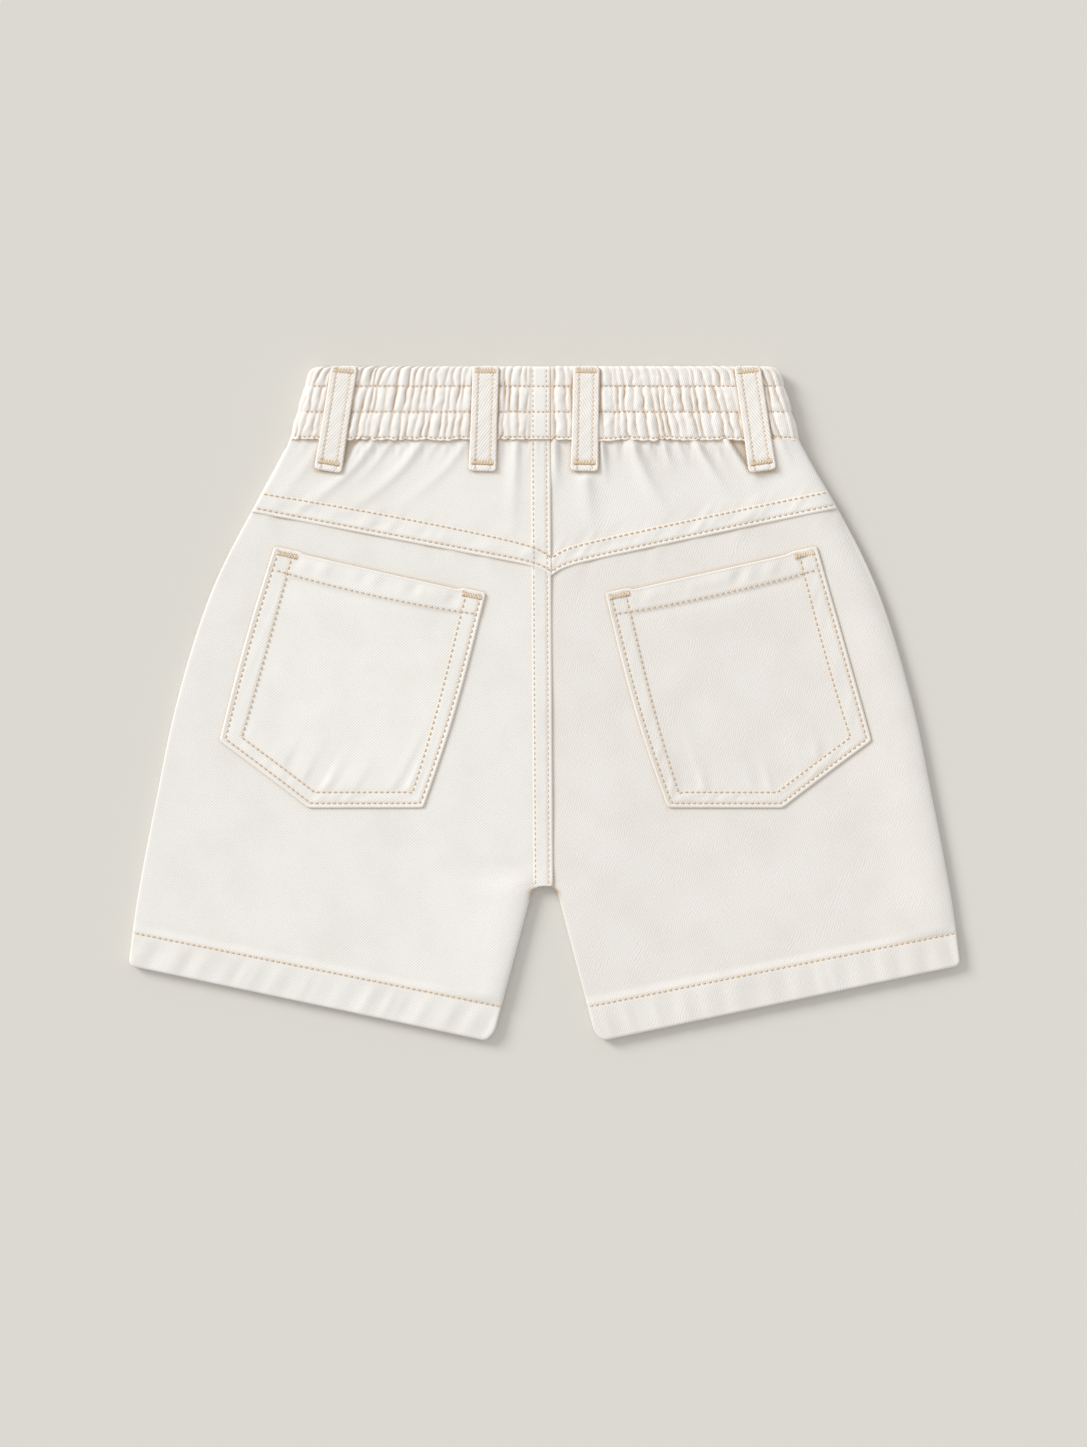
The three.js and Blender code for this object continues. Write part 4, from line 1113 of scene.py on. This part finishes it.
def pocket_place(side, x, y):
    """Where a place of the pocket's straight-sided cut lies on the garment."""
    ax = side * (x - POCKET_SHIFT)
    return side * (ax + pocket_bow(side, ax, y)) + POCKET_SHIFT, y - opening_sag(ax, y)


def pocket_face(side, x, y):
    """Height of a pocket's outer face."""
    ax = side * (x - POCKET_SHIFT)
    opening, border = pocket_measures(side, ax, y)
    nearest = np.minimum(opening, border)
    top_row = pocket_top_row(side, ax, y)
    strip = np.maximum(
        POCKET_BORDER_RISE * (1 - smooth(border, POCKET_INNER_ROW, POCKET_INNER_ROW + 0.9)),
        POCKET_HEM_RISE * (1 - smooth(opening, top_row + 0.1, top_row + 1.6)),
    )
    z = seat(side, x, y) + POCKET_RISE + strip
    z = z - 0.32 * (1 - smooth(nearest, 0, 0.4)) + 0.12 * bump(nearest, 0.8, 0.5)
    for row in (POCKET_EDGE_ROW, POCKET_INNER_ROW):
        z = z + groove(border - row) * (opening > 0.5)
    z = z + groove(opening - top_row) * (border > 1)
    # Puckers above the bottom rows, in the opening's hem and inside the double rows.
    seed = 91 + side
    foot_lean, hem_lean = POCKET_LEAN[side]
    inside = np.maximum(border - POCKET_INNER_ROW, 0)
    foot = smooth(-y, -2, 34)
    tufts = wave(x - foot_lean * y, 4.2, seed)
    tufts = np.where(tufts < 0, 0.5 * tufts, tufts)
    z = z + 0.5 * foot * tufts * (inside / 4) * np.exp(1 - inside / 4) * (inside > 0)
    z = z + (0.1 + 0.12 * foot) * wave(x - 0.5 * y, 3.2, seed + 4) * bump(border, 5.4, 2.2)
    across_hem = wave(x - hem_lean * y, 4.8, seed + 8)
    z = z + 0.48 * across_hem * bump(opening, 5.2, 3.4) * smooth(border, 8, 12)
    z = z + 0.22 * ripple(x, y, 17, seed + 12) * smooth(nearest, 6, 20)
    # The cloth of the pocket bags out a little below its opening, past a hollow under the hem's row.
    z = z + 0.5 * bump(opening, 18, 15) * smooth(border, 5, 26)
    z = z - 0.16 * bump(opening, top_row + 2.4, 1.8) * smooth(border, 9, 13)
    return z


def inset_corners(distances):
    """The pocket's corners, with each of its sides moved inwards by its own distance."""
    distances = np.broadcast_to(distances, 5)
    out = []
    for k in range(5):
        before, here, after = POCKET_CORNERS[k - 1], POCKET_CORNERS[k], POCKET_CORNERS[(k + 1) % 5]
        before, after = direction(before, here), direction(here, after)
        normals = np.array([inwards(before), inwards(after)])
        out.append(np.linalg.solve(normals, normals @ here + [distances[k - 1], distances[k]]))
    return np.array(out)


def opening_sag(ax, y):
    """How far the pocket's opening hangs down between its tacks."""
    a, b = pocket_side(0)
    along, length = direction(a, b), np.hypot(*(b - a))
    s = (ax - a[0]) * along[0] + (y - a[1]) * along[1]
    d = np.abs((ax - a[0]) * along[1] - (y - a[1]) * along[0])
    held = smooth(s, 11.0, 15) * (1 - smooth(s, length - 13.5, length - 10))
    return (0.75 + 0.5 * np.clip(s / length, 0, 1)) * held * np.exp(-d / 4.5)


def pocket(which, side):
    counts = [92, 90, 46, 44, 80]
    depths = graded([
        (0, 0.1), (0.3, 0.25), (1.6, 0.3), (3, 0.7), (6.3, 0.3), (12.9, 0.6), (14, 1.1), (34, 1.3),
    ])
    rings = []
    for depth in depths:
        corners = inset_corners(depth)
        ring = np.concatenate([
            lerp(corners[k], corners[(k + 1) % 5], np.linspace(0, 1, counts[k], endpoint=False)[:, None])
            for k in range(5)
        ])
        # The corners are rounded a little, and more so on the outer rings.
        for _ in range(2 if depth < 3 else 1):
            ring = (np.roll(ring, 1, 0) + 2 * ring + np.roll(ring, -1, 0)) / 4
        rings.append(ring)
    rings = np.array(rings)
    around = rings.shape[1]
    ax, cut_y = rings[..., 0], rings[..., 1]
    z = pocket_face(side, side * ax + POCKET_SHIFT, cut_y)
    border = pocket_measures(side, ax, cut_y)[1].ravel()
    x, y = pocket_place(side, side * ax + POCKET_SHIFT, cut_y)
    outer = np.stack([x, y, z], -1)
    keep = inner_rows_of(len(depths), 4)
    inner = np.stack([x, y, seat(side, x, y) + 0.12], -1)[keep]

    def closed(first, rows):
        index = first + np.arange(rows * around).reshape(rows, around)
        return np.concatenate([index, index[:, :1]], 1)

    out, inn = closed(0, len(depths)), closed(len(depths) * around, len(keep))
    rim = np.stack([out[0, :-1], inn[0, :-1], inn[0, 1:], out[0, 1:]], -1)
    quads = np.concatenate([grid_quads(out), grid_quads(inn[::-1]), rim])
    # The middle of either face is a fan of triangles round a point of its own.
    tip = (len(depths) + len(keep)) * around
    upper, lower = (
        np.stack([ring[:-1], ring[1:], np.full(around, tip + k)], -1)
        for k, ring in enumerate((out[-1], inn[-1]))
    )
    tris = np.concatenate([upper, lower[:, ::-1]])
    centre = outer[-1].mean(0)
    level = pocket_face(side, centre[:1], centre[1:2])[0]
    tips = [[*centre[:2], level], [*centre[:2], level - 0.9]]
    points = np.concatenate([outer.reshape(-1, 3), inner.reshape(-1, 3), tips])
    cloth = weave_plan(points[:, 0] + 13, points[:, 1] + 7, GRAIN[side] * 1.25)
    # Painted shade, in tan: at the edges, most on the sides that face away from the light, in the rows'
    # grooves and in the hollows; the hidden underside gets a middling amount.
    edge = np.tile(np.repeat(POCKET_EDGE_SHADE[side], counts), len(depths))
    edge = edge * bump(np.repeat(depths, around), 0, 0.25)
    crease = 0.25 * bump(border, POCKET_EDGE_ROW, 0.6) + 0.2 * bump(border, POCKET_INNER_ROW, 0.6) + edge
    crease = np.clip(0.5 * crease + HOLLOWS.shade_tint(outer.reshape(-1, 3)), 0, 1)
    crease = np.concatenate([crease, np.full(inner.shape[0] * around, 0.5), [0, 0.5]])
    ob = store(f"pocket_patch_{which}", points, [quads, tris], cloth, crease, POCKET_DENIM[side])
    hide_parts(f"pocket_{which}")


# Belt loops
def loop_side(name):
    return -1 if BELT_LOOPS[name][0] < 0 else 1


def loop_middle(name, down):
    top, foot = BELT_LOOPS[name]
    return lerp(top, foot, down / LOOP_LENGTH)


def loop_under(name, down):
    """Height of the loop's underside down its length."""
    foot_down = BAND_DEPTH + 6.0
    x = loop_middle(name, foot_down) + np.linspace(-LOOP_WIDTH / 2, LOOP_WIDTH / 2, 9)
    foot = float(np.max(yoke_face(loop_side(name), x, WAIST_Y - foot_down + 0 * x))) + 0.1
    return lerp(BAND_HEIGHT + 0.8, foot, smooth(down, 20, LOOP_LENGTH - 1))


def loop_relief(off, down):
    """The loop's face over its underside: two rolled edges, a groove at each row and a flatter middle."""
    far, half = np.abs(off), LOOP_WIDTH / 2
    z = 0.95 + 0.14 * smooth(far, 3.0, 3.7) - 0.55 * smooth(far, half - 0.7, half) ** 2
    z = z + groove(far - LOOP_ROW, 0.4, 0.16)
    z = z - 0.6 * smooth(down, LOOP_LENGTH - 0.7, LOOP_LENGTH) ** 2 - 0.6 * (1 - smooth(down, 0, 0.7)) ** 2
    z = z + groove(down - (LOOP_LENGTH - LOOP_FOOT_ROW), 0.35, 0.3) * (far < 4.6)
    z = z + 0.06 * wave(down + off, 2.2, 95)
    for tack in LOOP_TACK_DOWNS:
        z = z - 0.35 * bump(down, tack, 1.5) * (1 - smooth(far, 4.2, 5.4))
    return z


def loop_face(name, off, down):
    return loop_under(name, down) + loop_relief(off, down)


def loop_lean(name):
    top, foot = BELT_LOOPS[name]
    return math.atan2(foot - top, LOOP_LENGTH)


def loop_point(name, off, down):
    """Plan of a place on the loop, which widens a little towards its foot."""
    lean = loop_lean(name)
    off = off * (1 + 0.05 * smooth(down, 25, LOOP_LENGTH))
    y = WAIST_Y + 0.15 - down + off * math.sin(lean) * smooth(down, 0, 4)
    return loop_middle(name, down) + off * math.cos(lean), y


def belt_loop(name):
    offs = np.concatenate([
        np.linspace(-6, -5.2, 5), np.linspace(-4.9, -3.8, 4), np.linspace(-3.6, -2.9, 5),
        np.linspace(-2.4, 2.4, 9),
        np.linspace(2.9, 3.6, 5), np.linspace(3.8, 4.9, 4), np.linspace(5.2, 6, 5),
    ])
    downs = graded([
        (0, 0.15), (0.9, 0.5), (4, 0.9), (BAND_DEPTH - 1, 0.5), (BAND_DEPTH + 7, 0.6), (46, 0.3),
        (LOOP_LENGTH, 0.3),
    ])
    off, down = np.meshgrid(offs, downs)
    # The four corners are rounded by drawing the ends' rows in.
    near = np.minimum(down, LOOP_LENGTH - down)
    x, y = loop_point(name, off * (1 - corner_inset(near, 1.9) / (LOOP_WIDTH / 2)), down)
    outer = np.stack([x, y, loop_face(name, off, down)], -1)
    inner = np.stack([x, y, loop_under(name, down)], -1)
    rows = inner_rows_of(len(downs), 3)
    side = loop_side(name)
    cloth = np.stack([-side * off, -down, 0 * off], -1)
    far = np.abs(off)
    # Painted shade, in tan: in the rows' grooves, along the edges, more on the right-hand, shaded one, at the
    # foot's row and in the hollows.
    crease = 0.3 * bump(far, LOOP_ROW, 0.5) + np.where(off < 0, 0.15, 0.5) * smooth(far, 5.3, 6)
    crease = crease + 0.3 * bump(down, LOOP_LENGTH - LOOP_FOOT_ROW, 0.4) * (far < 4.6)
    crease = np.clip(crease + 0.45 * HOLLOWS.shade_tint(outer), 0, 1)
    ob = shell(name + "_strip", outer, inner[rows], rows, cloth, crease, DENIM_LOOP)
    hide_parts(name)


# Sewing
def path_lengths(path):
    return np.concatenate([[0], np.cumsum(np.hypot(*np.diff(path, axis=0).T))])


def path_points(path, lengths, at):
    return np.stack([np.interp(at, lengths, path[:, 0]), np.interp(at, lengths, path[:, 1])], -1)


def line(points, n):
    """Evenly spaced points along straight runs."""
    points = np.asarray(points, float)
    lengths = path_lengths(points)
    return path_points(points, lengths, np.linspace(0, lengths[-1], n))


def walk(path, pitch, gap):
    """Start and end points of the stitches along a path."""
    lengths = path_lengths(path)
    n = max(1, int(round(lengths[-1] / pitch)))
    pitch = lengths[-1] / n
    starts = np.arange(n) * pitch + gap / 2
    return path_points(path, lengths, starts), path_points(path, lengths, starts + pitch - gap)


def strands(starts, ends, radius, lift, sink, upwards=1):
    """Points, faces and shades of short curved threads between pairs of points."""
    stops = np.array([0, 0.1, 0.28, 0.72, 0.9, 1.0])
    sizes = radius * np.array([0.7, 1, 0.95, 0.95, 1, 0.7])
    heights = np.array([-sink, lift * 0.55, lift, lift, lift * 0.55, -sink])
    length = np.linalg.norm(ends - starts, axis=1, keepdims=True)
    forward = (ends - starts) / np.maximum(length, 1e-6)
    up = np.zeros_like(forward)
    up[:, 2] = upwards
    across = np.cross(forward, up)
    across /= np.maximum(np.linalg.norm(across, axis=1, keepdims=True), 1e-6)
    up = np.cross(across, forward)
    turns = np.linspace(0, 2 * math.pi, THREAD_POINTS + 1)[:-1]
    centres = starts[:, None] + (ends - starts)[:, None] * stops[None, :, None]
    centres = centres + up[:, None] * heights[None, :, None]
    cosines, sines = (f(turns)[None, None, :, None] for f in (np.cos, np.sin))
    ring = across[:, None, None] * cosines + up[:, None, None] * sines
    points = centres[:, :, None] + ring * sizes[None, :, None, None]
    shape = points.shape[:3]
    index = np.arange(points.size // 3).reshape(shape)
    wrapped = np.concatenate([index, index[:, :, :1]], 2)
    corners = (wrapped[:, :-1, :-1], wrapped[:, :-1, 1:], wrapped[:, 1:, 1:], wrapped[:, 1:, :-1])
    quads = np.stack(corners, -1).reshape(-1, 4)
    caps = np.concatenate([index[:, 0, ::-1], index[:, -1]])
    # Painted shade at both ends of each thread, where it dips into the cloth.
    shade = np.broadcast_to(np.array([1, 1, 0, 0, 1, 1])[None, :, None], shape)
    place = np.stack([
        np.broadcast_to((stops[None, :] * length)[:, :, None], shape),
        np.broadcast_to(turns[None, None, :], shape),
        np.broadcast_to(np.arange(len(starts))[:, None, None] * 1.7, shape),
    ], -1)
    return points.reshape(-1, 3), quads, caps, shade.ravel(), place.reshape(-1, 3)


class Sewing:
    """Threads that are joined into one piece."""

    def __init__(self):
        self.parts, self.count = [], 0

    def add(self, points, quads, caps, shade, place):
        self.parts.append((points, quads + self.count, caps + self.count, shade, place))
        self.count += len(points)

    def row(
        self, path, face, place=None,
        pitch=STITCH, gap=STITCH_GAP, radius=THREAD, lift=STITCH_LIFT, upwards=1,
    ):
        """Stitches along a path. place gives their plan on the garment and face their height."""
        starts, ends = (
            np.column_stack([*(place(x, y) if place else (x, y)), face(x, y)])
            for x, y in (p.T for p in walk(path, pitch, gap))
        )
        self.add(*strands(starts, ends, radius, lift, STITCH_SINK, upwards))

    def tack(self, middle, along, across, level, width):
        """A bar tack: a close zigzag of thread over a short bar, and three threads across each end."""
        n = 15
        s = np.linspace(-width / 2, width / 2, n)
        reach = TACK_DEPTH / 2 * np.where(np.arange(n) % 2, 1.0, -1.0)
        p = middle + along * s[:, None] + across * reach[:, None]
        p = np.column_stack([p, level + 0.06 * np.sin(np.arange(n) * 2.1)])
        self.add(*strands(p[:-1], p[1:], 0.25, 0.22, 0.02))
        half = across * TACK_DEPTH * 0.5
        for end in (-1, 1):
            for k in range(3):
                q = middle + along * end * (width / 2 + 0.1 - 0.42 * k)
                lean = along * 0.15 * (-1) ** k
                p = np.array([[*(q + half + lean), level], [*(q - half - lean), level]])
                self.add(*strands(p[:1], p[1:], 0.22, 0.3, 0.05))

    def make(self, name, material):
        points, quads, caps, shade, place = (np.concatenate(part) for part in zip(*self.parts))
        store(name, points, [quads, caps], place, shade, material)


def fold_share(side, x, y):
    """How far the back's face has come up from the fold at a place close to it."""
    d = np.minimum(half_width(y) - side * x, side * x - inseam_x(y))
    t = np.clip(1 - d / RADIUS, 0, 1)
    return 0.5 + 0.5 * np.sqrt(1 - t * t)


def sew_hems():
    for which, side in SIDES.items():
        sewing = Sewing()
        inner, outer = inseam_x(HEM_INNER_Y + HEM_ROW) + 0.6, half_width(HEM_OUTER_Y + HEM_ROW) - 0.6
        ax = np.linspace(inner, outer, 200)
        path = np.stack([side * ax, hem_y(ax) + HEM_ROW], -1)
        sewing.row(path, lambda x, y: leg_face(side, x, y) * fold_share(side, x, y))
        sewing.row(path, lambda x, y: 0 * x + FRONT_LIFT + 0.05, radius=0.28, lift=0.02, upwards=-1)
        sewing.make(f"stitches_hem_{which}", THREAD_LIGHT)


def sew_middle():
    sewing = Sewing()
    dip_y = YOKE_MIDDLE_Y - YOKE_DIP
    runs = (
        (BAND_Y - 0.4, dip_y + 2.5, 60, yoke_face, 2.4),
        (dip_y + 1.0, CROTCH_Y + ARCH_RISE + 0.8, 160, leg_face, 2.4),
        (WAIST_Y - 0.8, BAND_Y + 0.8, 60, band_face, 2.3),
    )
    for from_edge in (EDGE_ROW, INNER_ROW):
        for top, foot, count, face, pitch in runs:
            y = np.linspace(top, foot, count)
            seam = BACK_SEAM_TOP if face == band_face else seam_x(y)
            path = np.stack([seam - from_edge + 0 * y, y], -1)
            sewing.row(path, lambda x, y: face(-1, x, y), pitch=pitch, radius=0.26)
    sewing.make("stitches_middle_seam", THREAD_PALE)


def sew_yokes():
    for which, side in SIDES.items():
        sewing = Sewing()
        for row in (EDGE_ROW, INNER_ROW):
            ax = np.linspace(side * seam_x(YOKE_MIDDLE_Y) + 0.3, half_width(YOKE_SIDE_Y + row) - 1.0, 260)
            y = yoke_edge(ax, side) + (row if row == EDGE_ROW else yoke_inner_row(ax, side))
            path = np.stack([side * ax, y], -1)
            sewing.row(path, lambda x, y: yoke_face(side, x, y) * fold_share(side, x, y))
        sewing.make(f"stitches_yoke_{which}", THREAD_LIGHT)


def border_row(side, depth):
    """Path of a row of stitches along the pocket's border, from one end of the opening round to the other."""
    inner_row = depth == POCKET_INNER_ROW
    foot = depth - (POCKET_FOOT_NARROWER if inner_row else 0)
    corners = inset_corners([depth, depth, foot, foot, depth])
    start = corners[0] - direction(corners[0], corners[4]) * (depth - 1.6)
    end = corners[1] - direction(corners[1], corners[2]) * (depth - 1.6)
    path = line([start, corners[4], corners[3], corners[2], end], 700)
    if inner_row:
        for k, wide in POCKET_BORDER_WIDER[side].items():
            on = np.abs(pocket_distances(path[:, 0], path[:, 1])[k] - depth) < 0.05
            more = border_wider(wide, side_share(k, path[:, 0], path[:, 1])) * on
            path = path + more[:, None] * inwards(direction(*pocket_side(k)))
    return path


def sew_pockets():
    a, b = pocket_side(0)
    along, length = direction(a, b), np.hypot(*(b - a))
    down = inwards(along)
    for which, side in SIDES.items():
        sewing, tacks = Sewing(), Sewing()
        opening = line([a + along * 3.2, a + along * (length - 3.4)], 200)
        opening = opening + down * pocket_top_row(side, opening[:, 0], opening[:, 1])[:, None]
        mirrored = np.array([side, 1])
        for path in (border_row(side, POCKET_EDGE_ROW), border_row(side, POCKET_INNER_ROW), opening):
            sewing.row(
                path * mirrored + [POCKET_SHIFT, 0],
                lambda x, y: pocket_face(side, x, y), lambda x, y: pocket_place(side, x, y),
            )
        for s in (POCKET_TACKS[0], length - POCKET_TACKS[1]):
            middle = (a + along * s + down * POCKET_TACK_DOWN) * mirrored + [POCKET_SHIFT, 0]
            level = float(pocket_face(side, *middle))
            tacks.tack(middle, along * mirrored, down * mirrored, level, POCKET_TACK_WIDTH)
        sewing.make(f"stitches_pocket_{which}", THREAD_LIGHT)
        tacks.make(f"tacks_pocket_{which}", THREAD_DARK)


def sew_waistband():
    for which, side in SIDES.items():
        sewing = Sewing()
        start = band_start(side)
        for up in BAND_ROWS:
            y = BAND_Y + up
            end = float(band_fold(np.array(y)))
            ax = np.linspace(start + 0.4, end, 400)
            along = (ax - start) / (end - start) * (BACK_LENGTH - start)
            shift = band_shift(side, along, up) if up == BAND_ROWS[0] else 0 * ax
            sewing.row(
                np.stack([side * ax, y + 0.22 * wave(along, 3.1, 83 + side)], -1),
                lambda x, y: band_face(side, x, y), lambda x, y: (x, y + np.interp(side * x, ax, shift)),
                pitch=2.1, gap=1.25,
            )
        sewing.make(f"stitches_waistband_{which}", THREAD_BAND)


def sew_loops():
    for name in BELT_LOOPS:
        sewing, tacks = Sewing(), Sewing()
        lean = loop_lean(name)
        down = np.linspace(0.8, LOOP_LENGTH - 0.8, 240)
        for off in (-LOOP_ROW, LOOP_ROW):
            sewing.row(
                np.stack([0 * down + off, down], -1),
                lambda x, y: loop_face(name, x, y), lambda x, y: loop_point(name, x, y),
                pitch=2.0, gap=0.85, radius=0.27, lift=0.12,
            )
        for tack_down in LOOP_TACK_DOWNS:
            along = np.array([math.cos(lean), math.sin(lean) * (1 if tack_down > 4 else 0.5)])
            middle = np.array(loop_point(name, 0.0, tack_down))
            tacks.tack(middle, along, inwards(along), float(loop_face(name, 0.0, tack_down)), LOOP_TACK_WIDTH)
        sewing.make(f"stitches_{name}", THREAD_PALE)
        tacks.make(f"tacks_{name}", THREAD_DARK)


HOLLOWS = Hollows()
for which, side in SIDES.items():
    front_panel(which, side)
    back_panel(which, side)
    yoke_piece(which, side)
    waistband(which, side)
    pocket(which, side)
for name in BELT_LOOPS:
    belt_loop(name)
sew_hems()
sew_middle()
sew_yokes()
sew_pockets()
sew_waistband()
sew_loops()

# Stage, light and camera
bpy.ops.mesh.primitive_plane_add(size=FLOOR_SIZE, location=(0, 0, 0))
floor = bpy.context.object
floor.name = "floor"
paper = Nodes("plain_floor")
paper.surface(srgb(*FLOOR_COLOUR), 1.0, 0.0)
floor.data.materials.append(paper.material)

world = bpy.data.worlds.new("studio")
world.use_nodes = True
world.node_tree.nodes["Background"].inputs["Color"].default_value = (1, 1, 1, 1)
world.node_tree.nodes["Background"].inputs["Strength"].default_value = WORLD_STRENGTH
bpy.context.scene.world = world

key = bpy.data.lights.new("key", "SUN")
key.energy = SUN_POWER
key.angle = math.radians(SUN_SOFTNESS)
key.color = SUN_COLOUR
key_ob = bpy.data.objects.new("key", key)
bpy.context.scene.collection.objects.link(key_ob)
key_ob.rotation_euler = [math.radians(turn) for turn in SUN_TURN]

camera = bpy.data.cameras.new("camera")
camera.sensor_fit = "VERTICAL"
camera.sensor_height = SENSOR
camera.lens = SENSOR * DISTANCE / (PICTURE_HEIGHT * PIXEL)
camera.clip_end = 20
camera_ob = bpy.data.objects.new("camera", camera)
bpy.context.scene.collection.objects.link(camera_ob)
camera_ob.location = CAMERA_AT
bpy.context.scene.camera = camera_ob

bpy.context.scene.view_settings.view_transform = "Standard"
bpy.context.scene.view_settings.look = "None"
